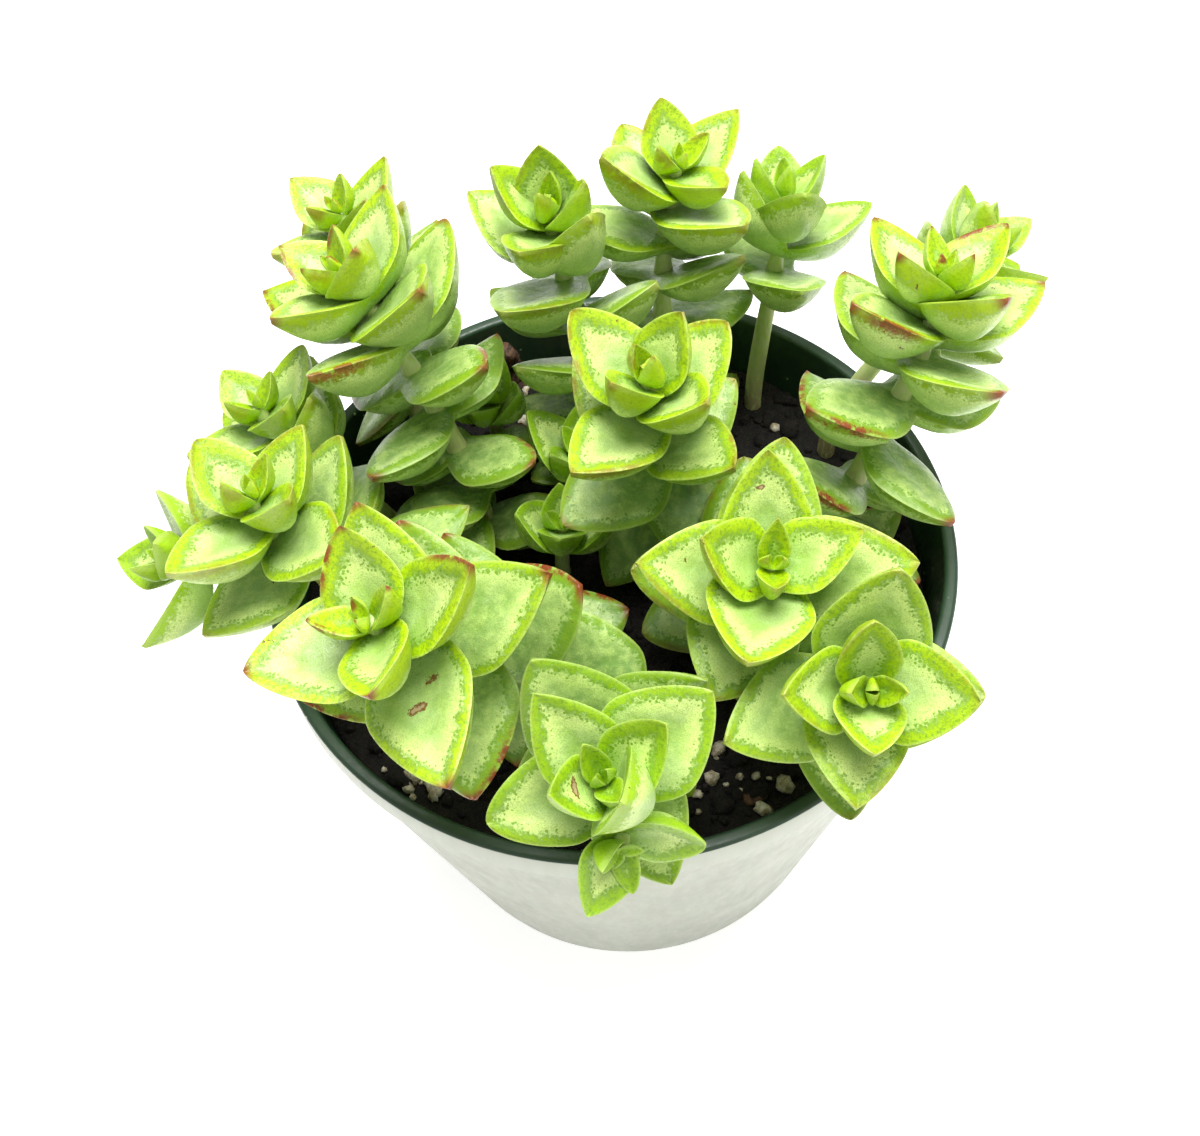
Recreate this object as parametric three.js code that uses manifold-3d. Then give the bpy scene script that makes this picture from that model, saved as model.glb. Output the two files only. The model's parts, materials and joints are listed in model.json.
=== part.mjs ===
// String of buttons (Crassula perforata) growing in a round nursery pot.
// Millimetres, +Z up, the origin at the middle of the pot's foot. -Y is the front.
import * as THREE from 'three';
import { mergeVertices } from 'three/addons/utils/BufferGeometryUtils.js';
import Module from 'manifold-3d';

const wasm = await Module();
wasm.setup();

// ---------------------------------------------------------------- pot and soil

const POT_HEIGHT = 80;
const RIM_RADIUS = 54;
const FOOT_RADIUS = 39;
const LIP_WIDTH = 2.2;
const LIP_BAND = 6;
const LIP_STEP = 0.6;
const WALL = 1.6;
const FLOOR = 2.4;
const DRAIN_HOLES = 4;
const DRAIN_RADIUS = 4;
const DRAIN_RING = 27;
const DRAIN_SIDES = 8;
const LIP_EDGE = 0.6;
const POT_SIDES = 30;

const SOIL_TOP = 69;
const SOIL_LUMP = 0.8;
const SOIL_RINGS = 3;
const SOIL_EDGE = 0.6;
const CLEAR = 0.3;
// Flat sides cut inside their circle: the extra room that the soil leaves to the wall and that
// a stem hole leaves to its stem.
const FACET_ROOM = 0.15;
const HOLE_ROOM = 0.2;
const HOLE_SIDES = 6;

// ---------------------------------------------------------------- stems and leaves

const STEM_RADIUS = 1.4;
const STEM_DEPTH = 7;
const COLLAR = 1;
const STEM_SIDES = 4;
const STEM_STEPS = 5;
const PATH_STEPS = 80;
const BUD_LENGTH = 4;
const BUD_RADIUS = 0.5;
const BUD_SUNK = 0.5;

// Leaf pairs from the tip of a stem downwards: distance from the tip in millimetres, length as a
// share of the stem's longest leaf, lift above the plane square to the stem in degrees, and how
// far a leaf curls up towards its tip and edges, or down if negative, as a share of its length.
const PAIR_PLACE = [0.6, 1.6, 3.2, 5.6, 9, 14, 20.5, 28, 36, 44, 52, 60];
const PAIR_SHARE = [0.18, 0.4, 0.67, 0.88, 1.02, 1.05, 1.02, 0.98, 0.93, 0.9, 0.88, 0.86];
const PAIR_LIFT = [78, 55, 38, 26, 17, 10, 5, 1, -2, -5, -8, -8];
const PAIR_CURL = [0.12, 0.12, 0.12, 0.1, 0.07, 0.03, -0.02, -0.04, -0.05, -0.05, -0.05, -0.05];
const LIFTED_PAIRS = 6;
const YOUNG_PAIRS = 2;
const YOUNG_WIDTH = 0.72;
const LOWEST_PAIR = 3;
const PAIR_TURN = 90;
// The first pair is no more than a grain at the tip: the bud stands for it.
const BUD_PAIRS = 1;
// Leaves differ a little: in length and width, as shares, and in lift and compass angle, in
// degrees.
const LENGTH_VARIES = 0.07;
const WIDTH_VARIES = 0.09;
const LIFT_VARIES = 6;
const SWING_VARIES = 7;
// Uneven steps that keep the differences from repeating along a stem.
const UNEVEN_STEPS = { turn: 12.9, pair: 7.3, twin: 4.1, trait: 2.7 };

// Leaf shape, as shares of the leaf's length unless stated.
const LEAF_WIDTH = 0.8;
const WIDEST_AT = 0.4;
const ROOT_WIDTH = 0.55;
const POINT_POWER = 1.42;
const LEAF_THICK = 0.3;
const THICK_LEAST = 0.6;
const THICKEST_AT = 0.45;
const ROOT_THICK = 0.55;
const TIP_THINNED = 0.86;
const THIN_POWER = 1.6;
const KEEL_POWER = 2;
const KEEL_ROUND = 0.75;
const EDGE_SHARE = 0.1;
const TIP_LEVEL = 0.3;
const YOUNG_STATIONS = [0.5];
const PLAIN_STATIONS = [0.36, 0.74];
const FULL_STATIONS = [0.28, 0.56, 0.82];

// Every stem: its root in the soil, its tip with the height above the rim, the compass angle and
// lean of the tip, the turn of its first leaf pair, its longest leaf, how far its young leaves
// stand up (1 is usual) and its number of leaf pairs. A side shoot has no root of its own: it
// names the stem that it branches from and how far below that stem's tip.
const STEMS = [
  { name: 'left_back', root: [-20, 12], tip: [-35, 22, 42], lean: [170, 25], turn: 145, leaf: 18,
    lift: 0.9, pairs: 11 },
  { name: 'far_left_back', root: [-29, 25], tip: [-37, 43, 35], lean: [190, 15], turn: 135,
    leaf: 16, lift: 0.85, pairs: 8 },
  { name: 'left', root: [-27, -4], tip: [-47, -11, 35], lean: [55, 15], turn: 135, leaf: 17,
    lift: 0.9, pairs: 10 },
  { name: 'left_behind', root: [-34, 11], tip: [-50, 13, 26], lean: [110, 15], turn: 130,
    leaf: 15, lift: 0.7, pairs: 7 },
  { name: 'left_shoot', parent: 'left', below: 24, tip: [-64, -9, 20], lean: [180, 30],
    turn: 155, leaf: 15, lift: 0.9, pairs: 4 },
  { name: 'front_left', root: [-14, -18], tip: [-30, -38, 43], lean: [180, 20], turn: 95,
    leaf: 19, lift: 0.7, pairs: 11 },
  { name: 'back', root: [1, 22], tip: [-4, 34, 39], lean: [265, 10], turn: 155, leaf: 17,
    lift: 1.2, pairs: 10 },
  { name: 'back_right', root: [12, 29], tip: [16, 39, 41], lean: [330, 15], turn: 113, leaf: 17,
    lift: 0.8, pairs: 10 },
  { name: 'far_back_right', root: [28, 34], tip: [33, 43, 30], lean: [80, 20], turn: 10,
    leaf: 15, lift: 1.2, pairs: 6 },
  { name: 'right_back', root: [33, -3], tip: [49, 9, 43], lean: [80, 15], turn: 25, leaf: 18,
    lift: 0.8, pairs: 11 },
  { name: 'far_right', root: [39, 22], tip: [62, 27, 31], lean: [20, 35], turn: 30, leaf: 15,
    lift: 1, pairs: 6 },
  { name: 'middle', root: [8, 6], tip: [7, -1, 39], lean: [210, 5], turn: 40, leaf: 17,
    lift: 1.3, pairs: 10 },
  { name: 'right', root: [22, -10], tip: [20, -29, 32], lean: [290, 15], turn: 170, leaf: 19,
    lift: 0.85, pairs: 10 },
  { name: 'front_right', root: [26, -32], tip: [29, -48, 31], lean: [270, 35], turn: 85,
    leaf: 17, lift: 1, pairs: 7 },
  { name: 'front', root: [-1, -22], tip: [-4, -55, 29], lean: [240, 10], turn: 25, leaf: 17,
    lift: 0.9, pairs: 8 },
  { name: 'front_shoot', parent: 'front', below: 12, tip: [-3, -61, 21], lean: [250, 40],
    turn: 30, leaf: 16, lift: 0.4, pairs: 3 },
  { name: 'inner_left', root: [-8, 2], tip: [-7, 1, 5], lean: [270, 15], turn: 90, leaf: 13,
    lift: 1, pairs: 4 },
  { name: 'inner_back', root: [-17, 28], tip: [-18, 26, 8], lean: [220, 15], turn: 60,
    leaf: 13, lift: 1, pairs: 4 },
  { name: 'inner_middle', root: [-3, 12], tip: [-3, 13, 7], lean: [180, 10], turn: 45, leaf: 16,
    lift: 1, pairs: 4 },
];

// How leaves of different stems make room for each other.
const ROUNDS = 140;
const SHRINK_AFTER = 50;
const SHRINK = 0.99;
const SMALLEST = 0.62;
const EASE = 0.9;
const TILT_LIMIT = 0.75;
const SWING_LIMIT = 0.6;
const DEEP_ENOUGH = 0.5;
const LEAF_GAP = 0.45;
const STEM_GAP = 0.8;
const SOIL_GAP = 1.4;
const WALL_GAP = 0.8;
const SHELL_GAP = 1;
const LIP_GAP = 0.6;
const BEAD_STEP = 2.2;
// Leaves whose middles are further apart than this share of their lengths never meet.
const REACH_SHARE = 0.62;
const REACH_MORE = 5;
const MIDDLE_AT = 0.55;
// Rows of feeler balls along a leaf: how far along, and how many across the row.
const FEELERS = [[0.3, 5], [0.46, 5], [0.62, 5], [0.76, 4], [0.88, 3], [0.98, 1]];
const SPREAD = 0.86;
const FEELER_SKIN = 0.35;
const FEELER_LEAST = 1.35;
const FEELER_FIXED = 0.4;
const OUTER_FROM = 0.5;

// ---------------------------------------------------------------- small helpers

const radians = (degrees) => (degrees * Math.PI) / 180;
const add = (a, b, k = 1) => [a[0] + k * b[0], a[1] + k * b[1], a[2] + k * b[2]];
const times = (a, k) => [a[0] * k, a[1] * k, a[2] * k];
const dot = (a, b) => a[0] * b[0] + a[1] * b[1] + a[2] * b[2];
const size = (a) => Math.sqrt(dot(a, a));
const unit = (a) => times(a, 1 / size(a));
const cross = (a, b) => [
  a[1] * b[2] - a[2] * b[1],
  a[2] * b[0] - a[0] * b[2],
  a[0] * b[1] - a[1] * b[0],
];
const mix = (a, b, k) => [0, 1, 2].map((i) => a[i] + (b[i] - a[i]) * k);
const clamp = (value, low, high) => Math.min(high, Math.max(low, value));

function leaning([compass, lean]) {
  const flat = Math.sin(radians(lean));
  const angle = radians(compass);
  return [flat * Math.cos(angle), flat * Math.sin(angle), Math.cos(radians(lean))];
}

function solidOf(geometry) {
  const bare = geometry.clone();
  bare.deleteAttribute('normal');
  bare.deleteAttribute('uv');
  const merged = mergeVertices(bare, 1e-4);
  const vertProperties = Float32Array.from(merged.attributes.position.array);
  const triVerts = Uint32Array.from(merged.index.array);
  return new wasm.Manifold(new wasm.Mesh({ numProp: 3, vertProperties, triVerts }));
}

function geometryOf(solid) {
  const mesh = solid.getMesh();
  const geometry = new THREE.BufferGeometry();
  geometry.setAttribute('position', new THREE.BufferAttribute(mesh.vertProperties, 3));
  geometry.setIndex(new THREE.BufferAttribute(mesh.triVerts, 1));
  const faceted = geometry.toNonIndexed();
  faceted.computeVertexNormals();
  return faceted;
}

function closedMesh(points, triangles) {
  const geometry = new THREE.BufferGeometry();
  geometry.setAttribute('position', new THREE.Float32BufferAttribute(points.flat(), 3));
  geometry.setIndex(triangles.flat());
  return geometry;
}

function upright(profile, sides) {
  const points = profile.map(([radius, height]) => new THREE.Vector2(radius, height));
  return new THREE.LatheGeometry(points, sides).rotateX(Math.PI / 2);
}

// ---------------------------------------------------------------- stem paths

// A path is a list of points with the direction and a side vector at each, and the distance run.
function stemPath(stem, parentPath) {
  const tip = [stem.tip[0], stem.tip[1], stem.tip[2] + POT_HEIGHT];
  const end = leaning(stem.lean);
  let start;
  let rise;
  if (parentPath) {
    start = placeOn(parentPath, stem.below).point;
    rise = unit(add(tip, start, -1));
  } else {
    start = [stem.root[0], stem.root[1], SOIL_TOP + COLLAR];
    rise = [0, 0, 1];
  }
  const pull = size(add(tip, start, -1));
  const points = [];
  for (let i = 0; i <= PATH_STEPS; i += 1) {
    const u = i / PATH_STEPS;
    const fromStart = 2 * u ** 3 - 3 * u ** 2 + 1;
    const startPull = (u ** 3 - 2 * u ** 2 + u) * pull;
    const endPull = (u ** 3 - u ** 2) * pull;
    let point = add(times(start, fromStart), times(tip, 1 - fromStart));
    point = add(add(point, rise, startPull), end, endPull);
    points.push(point);
  }
  return followed(points);
}

function followed(points) {
  const last = points.length - 1;
  const run = [0];
  for (let i = 1; i <= last; i += 1) run.push(run[i - 1] + size(add(points[i], points[i - 1], -1)));
  const along = points.map((_, i) => {
    const before = points[Math.max(0, i - 1)];
    const after = points[Math.min(last, i + 1)];
    return unit(add(after, before, -1));
  });
  const side = [];
  side[last] = unit(add([1, 0, 0], along[last], -along[last][0]));
  for (let i = last - 1; i >= 0; i -= 1) {
    side[i] = unit(add(side[i + 1], along[i], -dot(side[i + 1], along[i])));
  }
  return { points, along, side, run, length: run[last] };
}

function placeOn(path, below) {
  const target = path.length - below;
  let i = 0;
  while (i < path.run.length - 2 && path.run[i + 1] < target) i += 1;
  const k = (target - path.run[i]) / (path.run[i + 1] - path.run[i]);
  const point = mix(path.points[i], path.points[i + 1], k);
  const along = unit(mix(path.along[i], path.along[i + 1], k));
  const rough = mix(path.side[i], path.side[i + 1], k);
  const side = unit(add(rough, along, -dot(rough, along)));
  return { point, along, side };
}

// ---------------------------------------------------------------- leaves

const halfWidth = (u) => {
  if (u < WIDEST_AT) {
    return ROOT_WIDTH + (1 - ROOT_WIDTH) * Math.sin((u / WIDEST_AT) * (Math.PI / 2));
  }
  return 1 - ((u - WIDEST_AT) / (1 - WIDEST_AT)) ** POINT_POWER;
};

const keelDepth = (u) => {
  const swell = Math.sin(Math.min(u / THICKEST_AT, 1) * (Math.PI / 2));
  const beyond = Math.max((u - THICKEST_AT) / (1 - THICKEST_AT), 0);
  return (ROOT_THICK + (1 - ROOT_THICK) * swell) * (1 - TIP_THINNED * beyond ** THIN_POWER);
};

const thickness = (leaf, u, v) => {
  const across = (1 - Math.abs(v) ** KEEL_POWER) ** KEEL_ROUND;
  return leaf.thick * keelDepth(u) * across;
};

// A point of the leaf: along its length, out to the side and up, in the leaf's own frame.
function leafPoint(leaf, u, v, level) {
  const wide = halfWidth(u);
  const height = leaf.curl * leaf.length * (u * u + v * v * wide) - level * thickness(leaf, u, v);
  return [leaf.length * u, (leaf.width / 2) * wide * v, height];
}

// A fixed number from -1 to 1 for each leaf and each of its traits.
const varied = (stem, pair, twin, trait) => {
  const { turn: byTurn, pair: byPair, twin: byTwin, trait: byTrait } = UNEVEN_STEPS;
  return Math.sin(byTurn * stem.turn + byPair * pair + byTwin * twin + byTrait * trait);
};

function growLeaves(stem, path, stemIndex) {
  const leaves = [];
  for (let pair = 0; pair < stem.pairs; pair += 1) {
    const { point, along, side } = placeOn(path, PAIR_PLACE[pair]);
    if (PAIR_PLACE[pair] > path.length - LOWEST_PAIR) break;
    const square = cross(along, side);
    for (let twin = 0; twin < 2; twin += 1) {
      const angle = radians(stem.turn + PAIR_TURN * pair + 180 * twin);
      const out = add(times(side, Math.cos(angle)), square, Math.sin(angle));
      const young = pair < YOUNG_PAIRS;
      const [longer, higher, turned, wider] = [0, 1, 2, 3].map((trait) => {
        return young ? 0 : varied(stem, pair, twin, trait);
      });
      const length = stem.leaf * PAIR_SHARE[pair] * (1 + LENGTH_VARIES * longer);
      const lift = PAIR_LIFT[pair] * (pair < LIFTED_PAIRS ? stem.lift : 1);
      const leaf = {
        stem: stemIndex,
        pair,
        young,
        root: point,
        along,
        out,
        across: cross(along, out),
        length,
        width: length * LEAF_WIDTH * (young ? YOUNG_WIDTH : 1 + WIDTH_VARIES * wider),
        thick: length * LEAF_THICK + THICK_LEAST,
        curl: PAIR_CURL[pair],
        lift: radians(lift + LIFT_VARIES * higher),
        swing: radians(SWING_VARIES * turned),
        tilt: 0,
        scale: 1,
      };
      leaf.feelers = feelersOf(leaf);
      leaves.push(leaf);
    }
  }
  return leaves;
}

function feelersOf(leaf) {
  const feelers = [];
  for (const [u, count] of FEELERS) {
    for (let i = 0; i < count; i += 1) {
      const v = count === 1 ? 0 : SPREAD * ((2 * i) / (count - 1) - 1);
      const radius = Math.max(thickness(leaf, u, v) / 2 + FEELER_SKIN, FEELER_LEAST);
      feelers.push({ at: leafPoint(leaf, u, v, 0.5), radius, u });
    }
  }
  return feelers;
}

function frameOf(leaf) {
  const out = add(times(leaf.out, Math.cos(leaf.swing)), leaf.across, Math.sin(leaf.swing));
  const across = cross(leaf.along, out);
  const lift = leaf.lift + leaf.tilt;
  const ahead = add(times(out, Math.cos(lift)), leaf.along, Math.sin(lift));
  const up = add(times(out, -Math.sin(lift)), leaf.along, Math.cos(lift));
  return { ahead, across, up };
}

// ---------------------------------------------------------------- making room

function placeFeelers(leaf) {
  const { ahead, across, up } = frameOf(leaf);
  leaf.felt = leaf.feelers.map(({ at, radius, u }) => {
    const [x, y, z] = times(at, leaf.scale);
    const offset = add(add(times(ahead, x), across, y), up, z);
    return {
      point: add(leaf.root, offset),
      tilting: add(times(up, x), ahead, -z),
      swinging: cross(leaf.along, offset),
      radius: radius * (FEELER_FIXED + (1 - FEELER_FIXED) * leaf.scale),
      outer: u > OUTER_FROM,
    };
  });
}

function push(leaf, felt, way, depth, share) {
  const move = depth * share;
  leaf.tiltSum += dot(way, felt.tilting) * move * depth;
  leaf.tiltWeight += dot(felt.tilting, felt.tilting) * depth;
  leaf.swingSum += dot(way, felt.swinging) * move * depth;
  leaf.swingWeight += dot(felt.swinging, felt.swinging) * depth;
  leaf.deepest = Math.max(leaf.deepest, depth);
}

function parted(first, second, sameStem) {
  for (const a of first.felt) {
    for (const b of second.felt) {
      if (sameStem && !(a.outer && b.outer)) continue;
      const need = a.radius + b.radius + LEAF_GAP;
      const way = add(a.point, b.point, -1);
      const apart = size(way) + 1e-9;
      if (apart >= need) continue;
      const toFirst = times(way, 1 / apart);
      push(first, a, toFirst, need - apart, 0.5);
      push(second, b, times(toFirst, -1), need - apart, 0.5);
    }
  }
}

function clearOfBead(leaf, bead) {
  for (const felt of leaf.felt) {
    const way = add(felt.point, bead, -1);
    const apart = size(way) + 1e-9;
    const depth = felt.radius + STEM_RADIUS + STEM_GAP - apart;
    if (depth > 0) push(leaf, felt, times(way, 1 / apart), depth, 1);
  }
}

function clearOfPot(leaf) {
  const lipRadius = RIM_RADIUS - LIP_WIDTH / 2;
  const lipHeight = POT_HEIGHT - LIP_WIDTH / 2;
  for (const felt of leaf.felt) {
    const [x, y, z] = felt.point;
    const reach = Math.hypot(x, y) + 1e-9;
    const outward = [x / reach, y / reach, 0];
    const low = z < lipHeight;
    const inside = low && reach < RIM_RADIUS;
    const sunk = SOIL_TOP + SOIL_GAP + felt.radius - z;
    if (sunk > 0 && reach < RIM_RADIUS - LIP_WIDTH) push(leaf, felt, [0, 0, 1], sunk, 1);
    const wall = reach + felt.radius + WALL_GAP - (RIM_RADIUS - LIP_WIDTH);
    if (inside && wall > 0) push(leaf, felt, times(outward, -1), wall, 1);
    const shell = RIM_RADIUS + SHELL_GAP + felt.radius - reach;
    if (low && !inside && shell > 0) push(leaf, felt, outward, shell, 1);
    const toLip = [reach - lipRadius, z - lipHeight];
    const apart = Math.hypot(...toLip) + 1e-9;
    const lip = felt.radius + LIP_WIDTH / 2 + LIP_GAP - apart;
    const way = add(times(outward, toLip[0] / apart), [0, 0, 1], toLip[1] / apart);
    if (!inside && lip > 0) push(leaf, felt, way, lip, 1);
  }
}

const middleOf = (leaf) => add(leaf.root, frameOf(leaf).ahead, MIDDLE_AT * leaf.length);

function makeRoom(leaves, paths) {
  const meetings = [];
  leaves.forEach((first, i) => {
    for (const second of leaves.slice(i + 1)) {
      const sameStem = first.stem === second.stem;
      const nested = Math.min(first.pair, second.pair) <= YOUNG_PAIRS;
      const near = nested || Math.abs(first.pair - second.pair) < 2;
      if (sameStem && near) continue;
      const reach = REACH_SHARE * (first.length + second.length) + REACH_MORE;
      if (size(add(middleOf(first), middleOf(second), -1)) >= reach) continue;
      meetings.push([first, second, sameStem]);
    }
  });
  const brushes = [];
  paths.forEach((path, stem) => {
    for (let run = 0; run < path.length - 1; run += BEAD_STEP) {
      const bead = placeOn(path, path.length - run).point;
      for (const leaf of leaves) {
        if (leaf.stem === stem) continue;
        const apart = size(add(middleOf(leaf), bead, -1));
        if (apart < REACH_SHARE * leaf.length + REACH_MORE) brushes.push([leaf, bead]);
      }
    }
  });
  for (let round = 0; round < ROUNDS; round += 1) {
    for (const leaf of leaves) {
      placeFeelers(leaf);
      leaf.tiltSum = 0;
      leaf.tiltWeight = 0;
      leaf.swingSum = 0;
      leaf.swingWeight = 0;
      leaf.deepest = 0;
    }
    for (const [first, second, sameStem] of meetings) parted(first, second, sameStem);
    for (const [leaf, bead] of brushes) clearOfBead(leaf, bead);
    for (const leaf of leaves) {
      clearOfPot(leaf);
      const tilt = leaf.tiltWeight > 0 ? leaf.tiltSum / leaf.tiltWeight : 0;
      const swing = leaf.swingWeight > 0 ? leaf.swingSum / leaf.swingWeight : 0;
      leaf.tilt = clamp(leaf.tilt + EASE * tilt, -TILT_LIMIT, TILT_LIMIT);
      leaf.swing = clamp(leaf.swing + EASE * swing, -SWING_LIMIT, SWING_LIMIT);
      const stuck = round >= SHRINK_AFTER && leaf.deepest > DEEP_ENOUGH;
      if (stuck) leaf.scale = Math.max(leaf.scale * SHRINK, SMALLEST);
    }
  }
}

// ---------------------------------------------------------------- solids

// The section of a leaf: one edge, the middle of its upper face, the other edge and the keel
// below. Read from the other side, as a leaf's twin sees it, point i is point TURNED[i].
const SECTION = [[-1, EDGE_SHARE], [0, 0], [1, EDGE_SHARE], [0, 1]];
const TURNED = [2, 1, 0, 3];

function inSpace(leaf, frame, [x, y, z]) {
  const offset = add(add(times(frame.ahead, x), frame.across, y), frame.up, z);
  return add(leaf.root, offset, leaf.scale);
}

function sectionOf(leaf, frame, u) {
  return SECTION.map(([v, level]) => {
    const [x, y, z] = leafPoint(leaf, u, v, level);
    const edge = Math.abs(v) === 1 ? level * leaf.thick * keelDepth(u) : 0;
    return inSpace(leaf, frame, [x, y, z - edge]);
  });
}

// The largest leaves that stay in full view have the finest outline.
function stationsOf(pair) {
  if (pair < YOUNG_PAIRS) return YOUNG_STATIONS;
  return pair === YOUNG_PAIRS || pair >= LIFTED_PAIRS ? PLAIN_STATIONS : FULL_STATIONS;
}

// The two leaves of a pair are one blade from tip to tip, grown together round the stem.
function pairSolid(left, right) {
  const frames = [frameOf(left), frameOf(right)];
  const across = unit(add(frames[0].across, frames[1].across, -1));
  const scale = (left.scale + right.scale) / 2;
  const stations = stationsOf(left.pair);
  const middle = SECTION.map(([v, level]) => {
    const [, y, z] = leafPoint(left, 0, v, level);
    return add(add(left.root, across, y * scale), left.along, z * scale);
  });
  const rings = [...stations].reverse().map((u) => sectionOf(left, frames[0], u));
  rings.push(middle);
  for (const u of stations) {
    const section = sectionOf(right, frames[1], u);
    rings.push(TURNED.map((i) => section[i]));
  }
  const count = SECTION.length;
  const first = rings.length * count;
  const triangles = [];
  for (let i = 0; i < count; i += 1) {
    const next = (i + 1) % count;
    triangles.push([first, next, i]);
    for (let row = 0; row + 1 < rings.length; row += 1) {
      const a = row * count;
      triangles.push([a + i, a + count + next, a + count + i], [a + i, a + next, a + count + next]);
    }
    const last = (rings.length - 1) * count;
    triangles.push([last + i, last + next, first + 1]);
  }
  const tips = [left, right].map((leaf, i) => {
    return inSpace(leaf, frames[i], leafPoint(leaf, 1, 0, TIP_LEVEL));
  });
  return solidOf(closedMesh([...rings.flat(), ...tips], triangles));
}

function ringShape(radius, sides) {
  const corners = [];
  for (let i = 0; i < sides; i += 1) {
    const angle = (2 * Math.PI * i) / sides;
    corners.push(new THREE.Vector2(radius * Math.cos(angle), radius * Math.sin(angle)));
  }
  return new THREE.Shape(corners);
}

function stemSolid(stem, path) {
  const stations = [];
  const shaft = path.length - BUD_LENGTH;
  if (!stem.parent) stations.push([stem.root[0], stem.root[1], SOIL_TOP - STEM_DEPTH]);
  for (let i = 0; i <= STEM_STEPS; i += 1) {
    stations.push(placeOn(path, path.length - (shaft * i) / STEM_STEPS).point);
  }
  const curve = new THREE.CatmullRomCurve3(stations.map((point) => new THREE.Vector3(...point)));
  const tube = new THREE.ExtrudeGeometry(ringShape(STEM_RADIUS, STEM_SIDES), {
    extrudePath: curve,
    steps: STEM_STEPS + 2,
    bevelEnabled: false,
  });
  const bud = new THREE.CylinderGeometry(BUD_RADIUS, STEM_RADIUS, BUD_LENGTH, STEM_SIDES);
  const seat = placeOn(path, BUD_LENGTH / 2 + BUD_SUNK);
  const turn = new THREE.Quaternion();
  turn.setFromUnitVectors(new THREE.Vector3(0, 1, 0), new THREE.Vector3(...seat.along));
  bud.applyQuaternion(turn).translate(...seat.point);
  return solidOf(tube).add(solidOf(bud));
}

// Joined leaves can seal small voids between them: only the outer skin is kept.
function outerBody(solid) {
  const bodies = solid.decompose();
  return bodies.reduce((best, body) => (body.volume() > best.volume() ? body : best));
}

// The outside radius of the pot's tapered wall, below its band.
function wallRadius(height) {
  const slope = (RIM_RADIUS - LIP_STEP - FOOT_RADIUS) / (POT_HEIGHT - LIP_BAND);
  return FOOT_RADIUS + slope * height;
}

function potSolid() {
  const band = POT_HEIGHT - LIP_BAND;
  const profile = [
    [0, 0],
    [FOOT_RADIUS, 0],
    [wallRadius(band), band],
    [RIM_RADIUS, band + LIP_STEP],
    [RIM_RADIUS, POT_HEIGHT - LIP_EDGE],
    [RIM_RADIUS - LIP_EDGE, POT_HEIGHT],
    [RIM_RADIUS - LIP_WIDTH, POT_HEIGHT],
    [RIM_RADIUS - LIP_WIDTH - LIP_STEP / 2, band],
    [wallRadius(FLOOR) - WALL, FLOOR],
    [0, FLOOR],
  ];
  let pot = solidOf(upright(profile, POT_SIDES));
  for (let i = 0; i < DRAIN_HOLES; i += 1) {
    const angle = (2 * Math.PI * i) / DRAIN_HOLES;
    const hole = new THREE.CylinderGeometry(DRAIN_RADIUS, DRAIN_RADIUS, 4 * FLOOR, DRAIN_SIDES);
    hole.rotateX(Math.PI / 2);
    hole.translate(DRAIN_RING * Math.cos(angle), DRAIN_RING * Math.sin(angle), 0);
    pot = pot.subtract(solidOf(hole));
  }
  return pot;
}

// Two waves, one broad and one fine, make the soil's uneven top.
const lump = (x, y) => {
  const broad = Math.sin(0.21 * x + 1.3) * Math.cos(0.17 * y - 0.6);
  const fine = Math.sin(0.55 * x - 0.47 * y) * Math.cos(0.6 * y + 0.4);
  return (SOIL_LUMP * (broad + fine)) / 2;
};

function soilSolid(stems) {
  const bottom = FLOOR + CLEAR;
  const wallAt = (height) => wallRadius(height) - WALL - CLEAR - FACET_ROOM;
  const edge = wallAt(SOIL_TOP);
  const profile = [[0, bottom], [wallAt(bottom), bottom], [edge, SOIL_TOP - SOIL_EDGE]];
  for (let ring = SOIL_RINGS; ring >= 0; ring -= 1) {
    profile.push([((edge - SOIL_EDGE) * ring) / SOIL_RINGS, SOIL_TOP]);
  }
  const geometry = upright(profile, POT_SIDES);
  const place = geometry.attributes.position;
  for (let i = 0; i < place.count; i += 1) {
    if (place.getZ(i) < SOIL_TOP) continue;
    place.setZ(i, SOIL_TOP + lump(place.getX(i), place.getY(i)));
  }
  let soil = solidOf(geometry);
  for (const stem of stems) {
    const radius = STEM_RADIUS + CLEAR + HOLE_ROOM;
    const deep = STEM_DEPTH + CLEAR;
    const hole = new THREE.CylinderGeometry(radius, radius, 2 * deep, HOLE_SIDES);
    hole.rotateX(Math.PI / 2);
    hole.translate(stem.root[0], stem.root[1], SOIL_TOP);
    soil = soil.subtract(solidOf(hole));
  }
  return soil;
}

// ---------------------------------------------------------------- materials and meshes

const potPlastic = () => new THREE.MeshStandardMaterial({
  color: 0xd6d7d2,
  roughness: 0.4,
  metalness: 0,
});

const peat = () => new THREE.MeshStandardMaterial({
  color: 0x2b211b,
  roughness: 0.95,
  metalness: 0,
});

const leafSkin = () => new THREE.MeshStandardMaterial({
  color: 0x9fc46a,
  roughness: 0.45,
  metalness: 0,
});

function meshOf(name, solid, material) {
  const mesh = new THREE.Mesh(geometryOf(solid), material);
  mesh.name = name;
  return mesh;
}

// ---------------------------------------------------------------- the plant

const byName = {};
const paths = STEMS.map((stem) => {
  byName[stem.name] = stemPath(stem, stem.parent && byName[stem.parent]);
  return byName[stem.name];
});
const leaves = STEMS.flatMap((stem, index) => growLeaves(stem, paths[index], index));
makeRoom(leaves, paths);

const grown = STEMS.map((stem, index) => {
  const own = leaves.filter((leaf) => leaf.stem === index);
  let body = stemSolid(stem, paths[index]);
  for (let i = 2 * BUD_PAIRS; i < own.length; i += 2) {
    body = body.add(pairSolid(own[i], own[i + 1]));
  }
  return body;
});

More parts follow.
